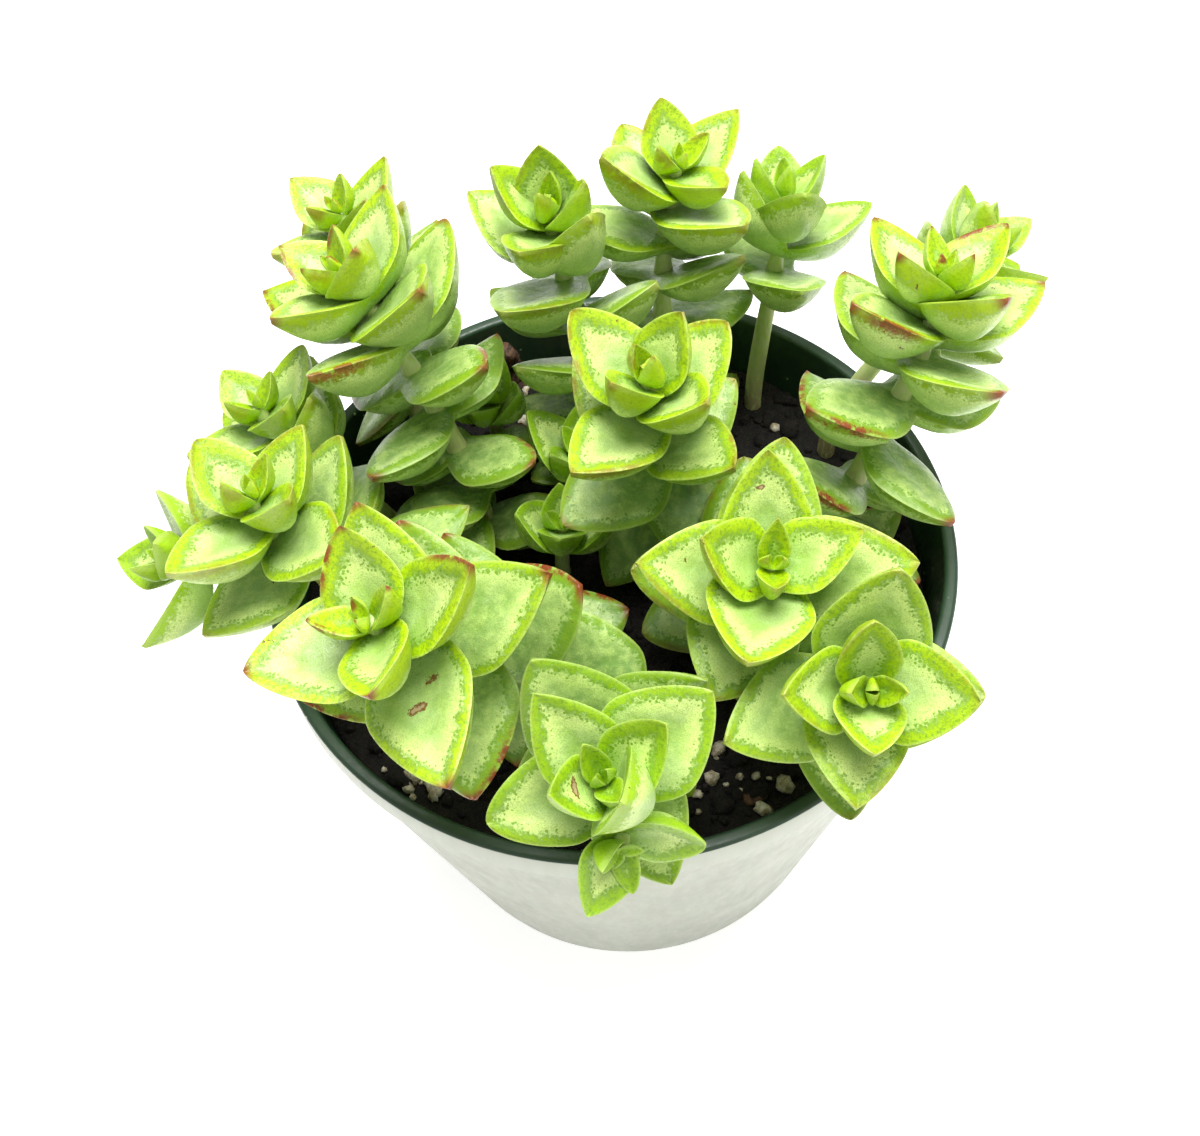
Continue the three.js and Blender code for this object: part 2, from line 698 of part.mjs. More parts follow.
const plant = new THREE.Group();
plant.add(meshOf('pot', potSolid(), potPlastic()));
plant.add(meshOf('soil', soilSolid(STEMS.filter((stem) => !stem.parent)), peat()));
STEMS.forEach((stem, index) => {
  if (stem.parent) return;
  let body = grown[index];
  STEMS.forEach((shoot, at) => {
    if (shoot.parent === stem.name) body = body.add(grown[at]);
  });
  plant.add(meshOf(`stem_${stem.name}`, outerBody(body), leafSkin()));
});

export default plant;
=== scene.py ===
"""String of buttons: a potted succulent with stacked pairs of thick leaves.

The plant is laid out in millimetres, with compass angles in degrees counted from +X towards +Y.
Meshes are made in metres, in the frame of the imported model.
"""
import json
import math

import bmesh
import bpy
import numpy as np
from bpy.props import FloatProperty, FloatVectorProperty, IntProperty, PointerProperty
from mathutils import Matrix, Vector, noise

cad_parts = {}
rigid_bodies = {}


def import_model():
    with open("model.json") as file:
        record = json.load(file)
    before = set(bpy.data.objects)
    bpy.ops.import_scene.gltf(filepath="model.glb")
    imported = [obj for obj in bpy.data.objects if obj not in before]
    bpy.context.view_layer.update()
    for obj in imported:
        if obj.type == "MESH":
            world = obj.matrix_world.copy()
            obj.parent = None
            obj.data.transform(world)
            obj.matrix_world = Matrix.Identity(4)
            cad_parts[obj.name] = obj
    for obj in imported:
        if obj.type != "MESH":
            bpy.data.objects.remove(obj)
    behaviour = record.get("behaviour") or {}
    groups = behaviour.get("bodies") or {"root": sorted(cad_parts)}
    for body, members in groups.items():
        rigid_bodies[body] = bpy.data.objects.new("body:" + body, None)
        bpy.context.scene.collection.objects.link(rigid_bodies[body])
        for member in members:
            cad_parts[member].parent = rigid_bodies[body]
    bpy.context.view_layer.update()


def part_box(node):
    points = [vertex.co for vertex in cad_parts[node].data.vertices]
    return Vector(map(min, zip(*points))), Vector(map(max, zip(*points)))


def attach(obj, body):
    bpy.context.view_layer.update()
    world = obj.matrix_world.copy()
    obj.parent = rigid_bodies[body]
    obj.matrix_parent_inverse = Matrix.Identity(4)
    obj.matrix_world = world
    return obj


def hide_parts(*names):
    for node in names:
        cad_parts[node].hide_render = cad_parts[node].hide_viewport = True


bl_info = {
    "name": "String of Buttons",
    "version": (1, 0, 0),
    "blender": (4, 5, 0),
    "location": "View3D > Sidebar > Plant",
    "description": "A potted succulent with stacked pairs of thick leaves",
    "category": "Add Mesh",
}

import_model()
MM = 0.001
BODY = "root"


# -------- sizes from the frame

_, POT_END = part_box("pot")
POT_HEIGHT = round(float(POT_END[2]) / MM, 3)
RIM_RADIUS = round(float(POT_END[1]) / MM, 3)

# -------- pot and soil, in millimetres

FOOT_RADIUS = 39.0
LIP_WIDTH = 2.2
LIP_BAND = 6.0
LIP_STEP = 0.6
BAND_FOOT = POT_HEIGHT - LIP_BAND
WALL = 1.6
FLOOR = 2.4
DRAIN_HOLES = 4
DRAIN_RADIUS = 4.0
DRAIN_RING = 27.0
SOIL_TOP = 69.0
SOIL_LUMP = 0.8
CLEAR = 0.3

# -------- stems and leaves, in millimetres

STEM_RADIUS = 1.4
STEM_DEPTH = 7.0
COLLAR = 1.0
PATH_STEPS = 80

# Leaf pairs from the tip of a stem downwards: distance from the tip, length as a share of the
# stem's longest leaf, lift in degrees above the plane square to the stem, and how far a leaf
# curls up towards its tip and edges, or down if negative, as a share of its length.
PAIR_PLACE = [0.6, 1.6, 3.2, 5.6, 9, 14, 20.5, 28, 36, 44, 52, 60]
PAIR_SHARE = [0.18, 0.4, 0.67, 0.88, 1.02, 1.05, 1.02, 0.98, 0.93, 0.9, 0.88, 0.86]
PAIR_LIFT = [78, 55, 38, 26, 17, 10, 5, 1, -2, -5, -8, -8]
PAIR_CURL = [0.12, 0.12, 0.12, 0.1, 0.07, 0.03, -0.02, -0.04, -0.05, -0.05, -0.05, -0.05]
LIFTED_PAIRS = 6
YOUNG_PAIRS = 2
YOUNG_WIDTH = 0.72
LOWEST_PAIR = 3.0
PAIR_TURN = 90.0
# Leaves differ a little: in length and width, as shares, and in lift and compass angle, in
# degrees.
LENGTH_VARIES = 0.07
WIDTH_VARIES = 0.09
LIFT_VARIES = 6.0
SWING_VARIES = 7.0
# Uneven steps that keep the differences from repeating along a stem.
TURN_STEP, PAIR_STEP, TWIN_STEP, TRAIT_STEP = 12.9, 7.3, 4.1, 2.7

# Leaf shape, as shares of the leaf's length unless stated.
LEAF_WIDTH = 0.8
WIDEST_AT = 0.4
ROOT_WIDTH = 0.55
POINT_POWER = 1.42
LEAF_THICK = 0.3
THICK_LEAST = 0.6
THICKEST_AT = 0.45
ROOT_THICK = 0.55
TIP_THINNED = 0.86
THIN_POWER = 1.6
KEEL_POWER = 2.0
KEEL_ROUND = 0.75
EDGE_SHARE = 0.16
TIP_LEVEL = 0.3


class Stem:
    """One stem: root in the soil, tip above the rim, lean of the tip and its leaves.

    A side shoot has a parent, and `below` is how far under the parent's tip it branches off.
    `blush` is how red its leaf tips are, from 0 to 1.
    """

    def __init__(self, name, tip, lean, turn, leaf, lift, pairs, blush, root=None, parent=None, below=0):
        self.name, self.tip, self.lean, self.turn = name, tip, lean, turn
        self.leaf, self.lift, self.pairs, self.blush = leaf, lift, pairs, blush
        self.root, self.parent, self.below = root, parent, below


STEMS = [
    Stem("left_back", (-35, 22, 42), (170, 25), 145, 18, 0.9, 11, 0.9, root=(-20, 12)),
    Stem("far_left_back", (-37, 43, 35), (190, 15), 135, 16, 0.85, 8, 0.6, root=(-29, 25)),
    Stem("left", (-47, -11, 35), (55, 15), 135, 17, 0.9, 10, 0.4, root=(-27, -4)),
    Stem("left_behind", (-50, 13, 26), (110, 15), 130, 15, 0.7, 7, 0.3, root=(-34, 11)),
    Stem("left_shoot", (-64, -9, 20), (180, 30), 155, 15, 0.9, 4, 0.1, parent="left", below=24),
    Stem("front_left", (-30, -38, 43), (180, 20), 95, 19, 0.7, 11, 1, root=(-14, -18)),
    Stem("back", (-4, 34, 39), (265, 10), 155, 17, 1.2, 10, 0.3, root=(1, 22)),
    Stem("back_right", (16, 39, 41), (330, 15), 113, 17, 0.8, 10, 0.5, root=(12, 29)),
    Stem("far_back_right", (33, 43, 30), (80, 20), 10, 15, 1.2, 6, 0.1, root=(28, 34)),
    Stem("right_back", (49, 9, 43), (80, 15), 25, 18, 0.8, 11, 1, root=(33, -3)),
    Stem("far_right", (62, 27, 31), (20, 35), 30, 15, 1, 6, 0.2, root=(39, 22)),
    Stem("middle", (7, -1, 39), (210, 5), 40, 17, 1.3, 10, 0.6, root=(8, 6)),
    Stem("right", (20, -29, 32), (290, 15), 170, 19, 0.85, 10, 0.4, root=(22, -10)),
    Stem("front_right", (29, -48, 31), (270, 35), 85, 17, 1, 7, 0.3, root=(26, -32)),
    Stem("front", (-4, -55, 29), (240, 10), 25, 17, 0.9, 8, 0.1, root=(-1, -22)),
    Stem("front_shoot", (-3, -61, 21), (250, 40), 30, 16, 0.4, 3, 0, parent="front", below=12),
    Stem("inner_left", (-7, 1, 5), (270, 15), 90, 13, 1, 4, 0, root=(-8, 2)),
    Stem("inner_back", (-18, 26, 8), (220, 15), 60, 13, 1, 4, 0, root=(-17, 28)),
    Stem("inner_middle", (-3, 13, 7), (180, 10), 45, 16, 1, 4, 0, root=(-3, 12)),
]

# How leaves of different stems make room for each other.
ROUNDS = 140
SHRINK_AFTER = 50
SHRINK = 0.99
SMALLEST = 0.62
EASE = 0.9
TILT_LIMIT = 0.75
SWING_LIMIT = 0.6
DEEP_ENOUGH = 0.5
LEAF_GAP = 0.45
STEM_GAP = 0.8
SOIL_GAP = 1.4
WALL_GAP = 0.8
SHELL_GAP = 1.0
LIP_GAP = 0.6
# Beads along a stem, which leaves of other stems keep clear of: how far apart they are, and how far
# below the tip they end.
BEAD_STEP = 2.2
BEADS_BELOW = 1.0
# Leaves whose middles are further apart than this share of their lengths never meet.
REACH_SHARE = 0.62
REACH_MORE = 5.0
MIDDLE_AT = 0.55
# Rows of feeler balls along a leaf: how far along, and how many across the row.
FEELERS = [(0.3, 5), (0.46, 5), (0.62, 5), (0.76, 4), (0.88, 3), (0.98, 1)]
SPREAD = 0.86
FEELER_SKIN = 0.35
FEELER_LEAST = 1.35
FEELER_FIXED = 0.4
OUTER_FROM = 0.5
# Pairs of one stem that are fewer than this apart never meet.
APART_PAIRS = 2
TINY = 1e-9


# -------- stem paths

def unit(vector):
    return vector / np.linalg.norm(vector)


def leaning(compass, lean):
    angle = math.radians(compass)
    tilt = math.radians(lean)
    flat = math.sin(tilt)
    return np.array([flat * math.cos(angle), flat * math.sin(angle), math.cos(tilt)])


class Path:
    """Points of a stem from root to tip, with the direction and a side vector at each."""

    def __init__(self, points):
        self.points = points
        gaps = np.linalg.norm(np.diff(points, axis=0), axis=1)
        self.run = np.concatenate([[0.0], np.cumsum(gaps)])
        self.length = self.run[-1]
        ahead = np.vstack([points[1:], points[-1:]])
        behind = np.vstack([points[:1], points[:-1]])
        along = ahead - behind
        self.along = along / np.linalg.norm(along, axis=1)[:, None]
        self.side = np.zeros_like(points)
        last = len(points) - 1
        self.side[last] = unit(np.array([1.0, 0, 0]) - self.along[last] * self.along[last][0])
        for i in range(last - 1, -1, -1):
            carried = self.side[i + 1]
            self.side[i] = unit(carried - self.along[i] * (carried @ self.along[i]))

    def place(self, below):
        """The point, direction and side vector this far below the tip."""
        target = self.length - below
        i = 0
        while i < len(self.run) - 2 and self.run[i + 1] < target:
            i += 1
        k = (target - self.run[i]) / (self.run[i + 1] - self.run[i])
        point = self.points[i] + (self.points[i + 1] - self.points[i]) * k
        along = unit(self.along[i] + (self.along[i + 1] - self.along[i]) * k)
        rough = self.side[i] + (self.side[i + 1] - self.side[i]) * k
        return point, along, unit(rough - along * (rough @ along))


def stem_path(stem, parent):
    tip = np.array([stem.tip[0], stem.tip[1], stem.tip[2] + POT_HEIGHT], float)
    end = leaning(*stem.lean)
    if parent is None:
        start = np.array([stem.root[0], stem.root[1], SOIL_TOP + COLLAR], float)
        rise = np.array([0.0, 0.0, 1.0])
    else:
        start = parent.place(stem.below)[0]
        rise = unit(tip - start)
    pull = np.linalg.norm(tip - start)
    u = np.linspace(0, 1, PATH_STEPS + 1)[:, None]
    from_start = 2 * u**3 - 3 * u**2 + 1
    bent = rise * (u**3 - 2 * u**2 + u) * pull + end * (u**3 - u**2) * pull
    return Path(start * from_start + tip * (1 - from_start) + bent)


# -------- leaf shape

def half_width(u, blunt=1.0):
    """Share of the leaf's half width; `blunt` under 1 rounds the tip."""
    swell = ROOT_WIDTH + (1 - ROOT_WIDTH) * np.sin(np.minimum(u / WIDEST_AT, 1) * math.pi / 2)
    point = 1 - np.maximum((u - WIDEST_AT) / (1 - WIDEST_AT), 0) ** POINT_POWER
    return np.where(u < WIDEST_AT, swell, np.maximum(point, 0) ** blunt)


def keel_depth(u):
    swell = np.sin(np.minimum(u / THICKEST_AT, 1) * math.pi / 2)
    beyond = np.maximum((u - THICKEST_AT) / (1 - THICKEST_AT), 0)
    return (ROOT_THICK + (1 - ROOT_THICK) * swell) * (1 - TIP_THINNED * beyond**THIN_POWER)


def thickness(thick, u, v):
    return thick * keel_depth(u) * np.maximum(1 - np.abs(v) ** KEEL_POWER, 0) ** KEEL_ROUND


def leaf_point(length, width, thick, curl, u, v, level, blunt=1.0):
    """Along the leaf, out to the side and up, in the leaf's own frame."""
    u, v, level = np.broadcast_arrays(np.asarray(u, float), np.asarray(v, float), level)
    wide = half_width(u, blunt)
    height = curl * length * (u * u + v * v * wide) - level * thickness(thick, u, v)
    return np.stack([length * u, width / 2 * wide * v, height], -1)


class Foliage:
    """All leaves of the plant, one row each."""

    def __init__(self, stems, paths):
        rows = []
        for index, (stem, path) in enumerate(zip(stems, paths)):
            for pair in range(stem.pairs):
                if PAIR_PLACE[pair] > path.length - LOWEST_PAIR:
                    break
                rows += pair_rows(stem, path, index, pair)
        names = ("stem", "pair", "twin", "root", "along", "out", "across", "length", "width", "thick",
                 "curl", "lift", "swing")
        for name, values in zip(names, zip(*rows)):
            setattr(self, name, np.array(values))
        self.count = len(rows)
        self.tilt = np.zeros(self.count)
        self.scale = np.ones(self.count)
        self.feelers, self.radii = self.place_feelers()
        self.outer = np.repeat([u > OUTER_FROM for u, _ in FEELERS], [count for _, count in FEELERS])

    def place_feelers(self):
        spots = []
        radii = []
        shape = (self.length, self.width, self.thick, self.curl)
        for u, count in FEELERS:
            for v in np.linspace(-SPREAD, SPREAD, count) if count > 1 else [0.0]:
                spots.append(leaf_point(*shape, u, np.full(self.count, v), 0.5))
                half = thickness(self.thick, u, v) / 2
                radii.append(np.maximum(half + FEELER_SKIN, FEELER_LEAST))
        return np.stack(spots, 1), np.stack(radii, 1)

    def axes(self):
        swing = self.swing[:, None]
        out = self.out * np.cos(swing) + self.across * np.sin(swing)
        across = np.cross(self.along, out)
        lift = (self.lift + self.tilt)[:, None]
        ahead = out * np.cos(lift) + self.along * np.sin(lift)
        up = self.along * np.cos(lift) - out * np.sin(lift)
        return ahead, across, up


def varied(stem, pair, twin, trait):
    """A fixed number from -1 to 1 for each leaf and each of its traits."""
    steps = TURN_STEP * stem.turn + PAIR_STEP * pair + TWIN_STEP * twin + TRAIT_STEP * trait
    return math.sin(steps)


def pair_rows(stem, path, index, pair):
    point, along, side = path.place(PAIR_PLACE[pair])
    square = np.cross(along, side)
    young = pair < YOUNG_PAIRS
    lift = PAIR_LIFT[pair] * (stem.lift if pair < LIFTED_PAIRS else 1)
    rows = []
    for twin in range(2):
        traits = [0 if young else varied(stem, pair, twin, trait) for trait in range(4)]
        longer, higher, turned, wider = traits
        length = stem.leaf * PAIR_SHARE[pair] * (1 + LENGTH_VARIES * longer)
        width = length * LEAF_WIDTH * (YOUNG_WIDTH if young else 1 + WIDTH_VARIES * wider)
        thick = length * LEAF_THICK + THICK_LEAST
        angle = math.radians(stem.turn + PAIR_TURN * pair + 180 * twin)
        out = side * math.cos(angle) + square * math.sin(angle)
        rows.append((index, pair, twin, point, along, out, np.cross(along, out), length, width, thick,
                     PAIR_CURL[pair], math.radians(lift + LIFT_VARIES * higher),
                     math.radians(SWING_VARIES * turned)))
    return rows


# -------- making room

def leaf_meetings(foliage, middle):
    reach = REACH_SHARE * (foliage.length[:, None] + foliage.length[None]) + REACH_MORE
    apart = np.linalg.norm(middle[:, None] - middle[None], axis=2)
    later = np.arange(foliage.count)[:, None] < np.arange(foliage.count)[None]
    first, second = np.where((apart < reach) & later)
    same = foliage.stem[first] == foliage.stem[second]
    pairs = foliage.pair[first], foliage.pair[second]
    near = (np.abs(pairs[0] - pairs[1]) < APART_PAIRS) | (np.minimum(*pairs) <= YOUNG_PAIRS)
    kept = ~(same & near)
    return first[kept], second[kept], same[kept]


def stem_beads(paths):
    beads = []
    owners = []
    for index, path in enumerate(paths):
        for run in np.arange(0, path.length - BEADS_BELOW, BEAD_STEP):
            beads.append(path.place(path.length - run)[0])
            owners.append(index)
    return np.array(beads), np.array(owners)


class Shove:
    """The pushes that the leaves feel in one round."""

    def __init__(self, count, tilting, swinging):
        self.tilting = tilting
        self.swinging = swinging
        self.sums = np.zeros((4, count))
        self.deepest = np.zeros(count)

    def push(self, leaf, feeler, way, depth, share):
        tilting = self.tilting[leaf, feeler]
        swinging = self.swinging[leaf, feeler]
        weight = depth * share * depth
        np.add.at(self.sums[0], leaf, (way * tilting).sum(1) * weight)
        np.add.at(self.sums[1], leaf, (tilting * tilting).sum(1) * depth)
        np.add.at(self.sums[2], leaf, (way * swinging).sum(1) * weight)
        np.add.at(self.sums[3], leaf, (swinging * swinging).sum(1) * depth)
        np.maximum.at(self.deepest, leaf, depth)

    def turn(self, row):
        """The turn that the pushes of one kind add up to: row 0 for tilt, 2 for swing."""
        total = self.sums[row + 1]
        return np.divide(self.sums[row], total, out=np.zeros_like(total), where=total > 0)


def span(gap):
    """Lengths of vectors, never quite 0."""
    return np.sqrt((gap**2).sum(-1)) + TINY


def clear_of_pot(shove, points, radii):
    lip_radius = RIM_RADIUS - LIP_WIDTH / 2
    lip_height = POT_HEIGHT - LIP_WIDTH / 2
    height = points[:, :, 2]
    reach = np.hypot(points[:, :, 0], points[:, :, 1]) + TINY
    outward = np.stack([points[:, :, 0] / reach, points[:, :, 1] / reach, 0 * reach], -1)
    upward = np.zeros_like(points)
    upward[:, :, 2] = 1
    low = height < lip_height
    inside = low & (reach < RIM_RADIUS)
    lip_out = reach - lip_radius
    lip_up = height - lip_height
    apart = np.hypot(lip_out, lip_up) + TINY
    from_lip = outward * (lip_out / apart)[..., None] + upward * (lip_up / apart)[..., None]
    inner = RIM_RADIUS - LIP_WIDTH
    pushes = (
        (reach < inner, SOIL_TOP + SOIL_GAP + radii - height, upward),
        (inside, reach + radii + WALL_GAP - inner, -outward),
        (low & ~inside, RIM_RADIUS + SHELL_GAP + radii - reach, outward),
        (~inside, radii + LIP_WIDTH / 2 + LIP_GAP - apart, from_lip),
    )
    for where, depth, way in pushes:
        leaf, feeler = np.where(where & (depth > 0))
        shove.push(leaf, feeler, way[leaf, feeler], depth[leaf, feeler], 1)


def make_room(foliage, paths):
    """Tilts and swings leaves until they clear other stems, the soil and the pot."""
    ahead, _, _ = foliage.axes()
    middle = foliage.root + MIDDLE_AT * foliage.length[:, None] * ahead
    first, second, same = leaf_meetings(foliage, middle)
    beads, owners = stem_beads(paths)
    apart = np.linalg.norm(middle[:, None] - beads[None], axis=2)
    near = apart < REACH_SHARE * foliage.length[:, None] + REACH_MORE
    brushed, bead = np.where(near & (foliage.stem[:, None] != owners[None]))
    for step in range(ROUNDS):
        ahead, across, up = (axis[:, None] for axis in foliage.axes())
        x, y, z = np.moveaxis(foliage.feelers * foliage.scale[:, None, None], -1, 0)[..., None]
        offset = ahead * x + across * y + up * z
        points = foliage.root[:, None] + offset
        radii = foliage.radii * (FEELER_FIXED + (1 - FEELER_FIXED) * foliage.scale[:, None])
        along = np.broadcast_to(foliage.along[:, None], offset.shape)
        shove = Shove(foliage.count, up * x - ahead * z, np.cross(along, offset))

        gap = points[first][:, :, None] - points[second][:, None]
        far = span(gap)
        depth = radii[first][:, :, None] + radii[second][:, None] + LEAF_GAP - far
        barred = same[:, None, None] & ~(foliage.outer[:, None] & foliage.outer[None])[None]
        meeting, a, b = np.where((depth > 0) & ~barred)
        way = gap[meeting, a, b] / far[meeting, a, b][:, None]
        shove.push(first[meeting], a, way, depth[meeting, a, b], 0.5)
        shove.push(second[meeting], b, -way, depth[meeting, a, b], 0.5)

        gap = points[brushed] - beads[bead][:, None]
        far = span(gap)
        depth = radii[brushed] + STEM_RADIUS + STEM_GAP - far
        brush, a = np.where(depth > 0)
        shove.push(brushed[brush], a, gap[brush, a] / far[brush, a][:, None], depth[brush, a], 1)

        clear_of_pot(shove, points, radii)
        foliage.tilt = np.clip(foliage.tilt + EASE * shove.turn(0), -TILT_LIMIT, TILT_LIMIT)
        foliage.swing = np.clip(foliage.swing + EASE * shove.turn(2), -SWING_LIMIT, SWING_LIMIT)
        if step >= SHRINK_AFTER:
            shrunk = np.maximum(foliage.scale * SHRINK, SMALLEST)
            foliage.scale = np.where(shove.deepest > DEEP_ENOUGH, shrunk, foliage.scale)


# -------- meshes

def add_piece(name, points, faces, materials, values=None, shades=None, smooth=True):
    """A mesh object from points in millimetres, with one number per point for each name in values."""
    mesh = bpy.data.meshes.new(name)
    mesh.from_pydata((np.asarray(points) * MM).tolist(), [], [list(face) for face in faces])
    for material in materials:
        mesh.materials.append(material)
    for key, numbers in (values or {}).items():
        layer = mesh.attributes.new(key, "FLOAT", "POINT")
        layer.data.foreach_set("value", np.asarray(numbers, np.float32))
    if shades is not None:
        mesh.polygons.foreach_set("material_index", np.asarray(shades, np.int32))
    mesh.polygons.foreach_set("use_smooth", [smooth] * len(mesh.polygons))
    mesh.update()
    piece = bpy.data.objects.new(name, mesh)
    bpy.context.scene.collection.objects.link(piece)
    return piece


def settle(piece, slot, *nodes):
    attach(piece, BODY)
    if nodes:
        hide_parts(*nodes)


def tube_faces(rings, sides, start=0):
    faces = []
    for row in range(rings - 1):
        for i in range(sides):
            a = start + row * sides + i
            b = start + row * sides + (i + 1) % sides
            faces.append((a, b, b + sides, a + sides))
    return faces


def closed_tube(rings, ends):
    """Points and faces of a tube that closes at one point at each end."""
    sides = len(rings[0])
    points = np.concatenate(rings + [np.array(ends)])
    faces = tube_faces(len(rings), sides)
    first = len(points) - 2
    last = first - sides
    for i in range(sides):
        j = (i + 1) % sides
        faces.append((first, j, i))
        faces.append((first + 1, last + i, last + j))
    return points, faces


class Patchwork:
    """Collects the points, faces and point values of one piece."""

    def __init__(self, *keys):
        self.points = []
        self.faces = []
        self.values = {key: [] for key in keys}
        self.shades = []
        self.size = 0

    def add(self, points, faces, shade=0, **values):
        """Adds a closed shape; shade is the number of its material in the piece."""
        self.points.append(np.asarray(points, float))
        self.faces += [tuple(self.size + corner for corner in face) for face in faces]
        self.shades += [shade] * len(faces)
        for key, store in self.values.items():
            store.append(np.broadcast_to(values.get(key, 0.0), len(points)))
        self.size += len(points)

    def piece(self, name, materials, smooth=True):
        values = {key: np.concatenate(store) for key, store in self.values.items()}
        points = np.concatenate(self.points)
        return add_piece(name, points, self.faces, materials, values, self.shades, smooth)


# -------- fine leaves

# The order of a leafy stem's materials.
BLADE, SHAFT = 0, 1
LEAF_RINGS = 24
LEAF_ACROSS = 18
RIM_ROLL = 5
BLUNT = (0.6, 0.85)
CURL_SPREAD = 0.035
SKEW_SPREAD = 0.03
# A wave over each leaf: its height and its turns across, along and by chance, in radians.
WAVE_HEIGHT = 0.01
WAVE_ACROSS, WAVE_ALONG, WAVE_SHIFT = 3.1, 5, 3
# A groove down the upper face: how deep, how narrow and how early it fades towards the tip.
GROOVE = 0.02
GROOVE_NARROW = 9
GROOVE_FADE = 1.1
OLDEST_PAIR = 7
SLOPE_STEP = 1e-3
LEAF_SEED = 1000
# Numbers painted on the leaves, and the values at a tip of those that differ over a leaf.
LEAF_KEYS = ("along", "margin", "under", "age", "blush", "dice", "across", "scar")
TIP_VALUES = {"along": 1.0, "margin": 0.0, "under": 0.5, "across": 0.0, "scar": 0.0}
# Corky scars: stem, pair and twin, then how far along and across that leaf, and radius.
SCARS = [
    ("front", 2, 0, 0.5, -0.1, 1.1),
    ("front_left", 4, 1, 0.3, 0.3, 1.2),
    ("front_left", 4, 1, 0.44, -0.1, 1.0),
    ("right", 3, 0, 0.7, 0.2, 0.5),
]
# Scars run across the leaf: how much narrower and how much longer than round, in squares.
SCAR_NARROW, SCAR_LONG = 3, 2


def section_shares():
    """Across positions round a leaf's section, over the upper face and back underneath, as a row,
    and a row that says which of them are underneath."""
    over = np.sin(np.linspace(-math.pi / 2, math.pi / 2, LEAF_ACROSS + 1))
    back = over[-2:0:-1]
    v = np.concatenate([over, back])
    under = np.concatenate([np.zeros(len(over)), np.ones(len(back))])
    return v[None], under[None]


def scarring(foliage, leaf, u, v):
    """How close each point of a leaf is to one of its scars, from 0 to 1."""
    found = 0 * u * v
    place = (STEMS[foliage.stem[leaf]].name, foliage.pair[leaf], foliage.twin[leaf])
    for *scarred, along, across, radius in SCARS:
        if tuple(scarred) == place:
            ahead = (u - along) * foliage.length[leaf]
            aside = (v - across) * half_width(u) * foliage.width[leaf] / 2
            reach = ahead**2 * SCAR_NARROW + aside**2 / SCAR_LONG
            found = np.maximum(found, np.exp(-reach / radius**2))
    return found


def fine_leaf(foliage, axes, leaf):
    """Rings of points from the stem to just before the tip, the values painted on them, and the tip."""
    turn = np.stack([axis[leaf] for axis in axes])
    shape = length, width, thick, _ = [
        trait[leaf] for trait in (foliage.length, foliage.width, foliage.thick, foliage.curl)]
    chance = np.random.default_rng(LEAF_SEED + leaf)
    curl, skew, phase, dice, blunted = chance.uniform(-1, 1, 5)
    blunt = BLUNT[0] + (BLUNT[1] - BLUNT[0]) * (blunted + 1) / 2
    v, under = section_shares()
    u = np.sin(np.linspace(0, 1, LEAF_RINGS + 1)[:-1] * math.pi / 2)[:, None]
    local = leaf_point(*shape, u, v, 0.0, blunt)
    rim = EDGE_SHARE * thick * keel_depth(u)
    roll = rim * np.abs(v) ** RIM_ROLL
    keel = np.maximum(thickness(thick, u, v), 2 * rim - roll)
    local[..., 2] -= np.where(under > 0, keel, roll)
    groove = np.exp(-(v**2) * GROOVE_NARROW) * np.sin(math.pi * np.minimum(u * GROOVE_FADE, 1))
    local[..., 2] -= GROOVE * length * groove * (1 - under)
    local[..., 2] += CURL_SPREAD * curl * length * u**3
    wave = np.sin(WAVE_ACROSS * v + WAVE_ALONG * u + WAVE_SHIFT * phase)
    local[..., 2] += WAVE_HEIGHT * length * u * wave * (1 - np.abs(v))
    local[..., 1] += SKEW_SPREAD * skew * length * u**2
    slope = (half_width(u + SLOPE_STEP) - half_width(u - SLOPE_STEP)) / (2 * SLOPE_STEP) * width / 2 / length
    lean = 1 / np.sqrt(1 + slope**2)
    margin = (1 - np.abs(v)) * half_width(u, blunt) * width / 2 * lean
    tip = leaf_point(*shape, 1.0, 0.0, TIP_LEVEL)
    tip[2] += CURL_SPREAD * curl * length
    tip[1] += SKEW_SPREAD * skew * length
    place, tip = (foliage.root[leaf] + foliage.scale[leaf] * (spots @ turn) for spots in (local, tip))
    scar = scarring(foliage, leaf, u, v) * (1 - under)
    values = {"along": u, "across": v, "scar": scar, "margin": margin, "under": under}
    painted = {key: np.broadcast_to(value, margin.shape) for key, value in values.items()}
    return place, painted, tip, (dice + 1) / 2


def fine_pair(patchwork, foliage, axes, left, right, blush):
    """Two opposite leaves as one blade, tip to tip through the stem."""
    places, values, tips, dice = zip(*(fine_leaf(foliage, axes, leaf) for leaf in (left, right)))
    sides = places[0].shape[1]
    # The twin sees the same section from the other side.
    turned = np.concatenate([np.arange(LEAF_ACROSS, -1, -1), np.arange(sides - 1, LEAF_ACROSS, -1)])

    def strung(first, second, middle):
        """Rows from just inside the first leaf's tip to just inside its twin's."""
        return [*first[:0:-1], middle, *(row[turned] for row in second[1:])]

    middle = (places[0][0] + places[1][0][turned]) / 2
    points, faces = closed_tube(strung(*places, middle), tips)
    painted = {}
    for key, ends in TIP_VALUES.items():
        rows = strung(values[0][key], values[1][key], values[0][key][0])
        painted[key] = np.concatenate(rows + [np.full(2, ends)])
    own = np.full(len(points), dice[1])
    own[:(LEAF_RINGS - 1) * sides] = dice[0]
    own[-2] = dice[0]
    # Age grows from the tip downwards. Besides the leaves' real ageing, it darkens the lower leaves, partly
    # as painted shade.
    age = min(foliage.pair[left] / OLDEST_PAIR, 1)
    patchwork.add(points, faces, shade=BLADE, age=age, blush=blush, dice=own, **painted)


# -------- fine stems

SHAFT_SIDES = 14
SHAFT_RINGS = 56
# The first pair, from the tip, that shows a swollen joint.
FIRST_JOINT = 3
JOINT_SWELL = 0.22
JOINT_SPAN = 1.1
SHAFT_BASE = 1.5
SHAFT_TOP = 1.0
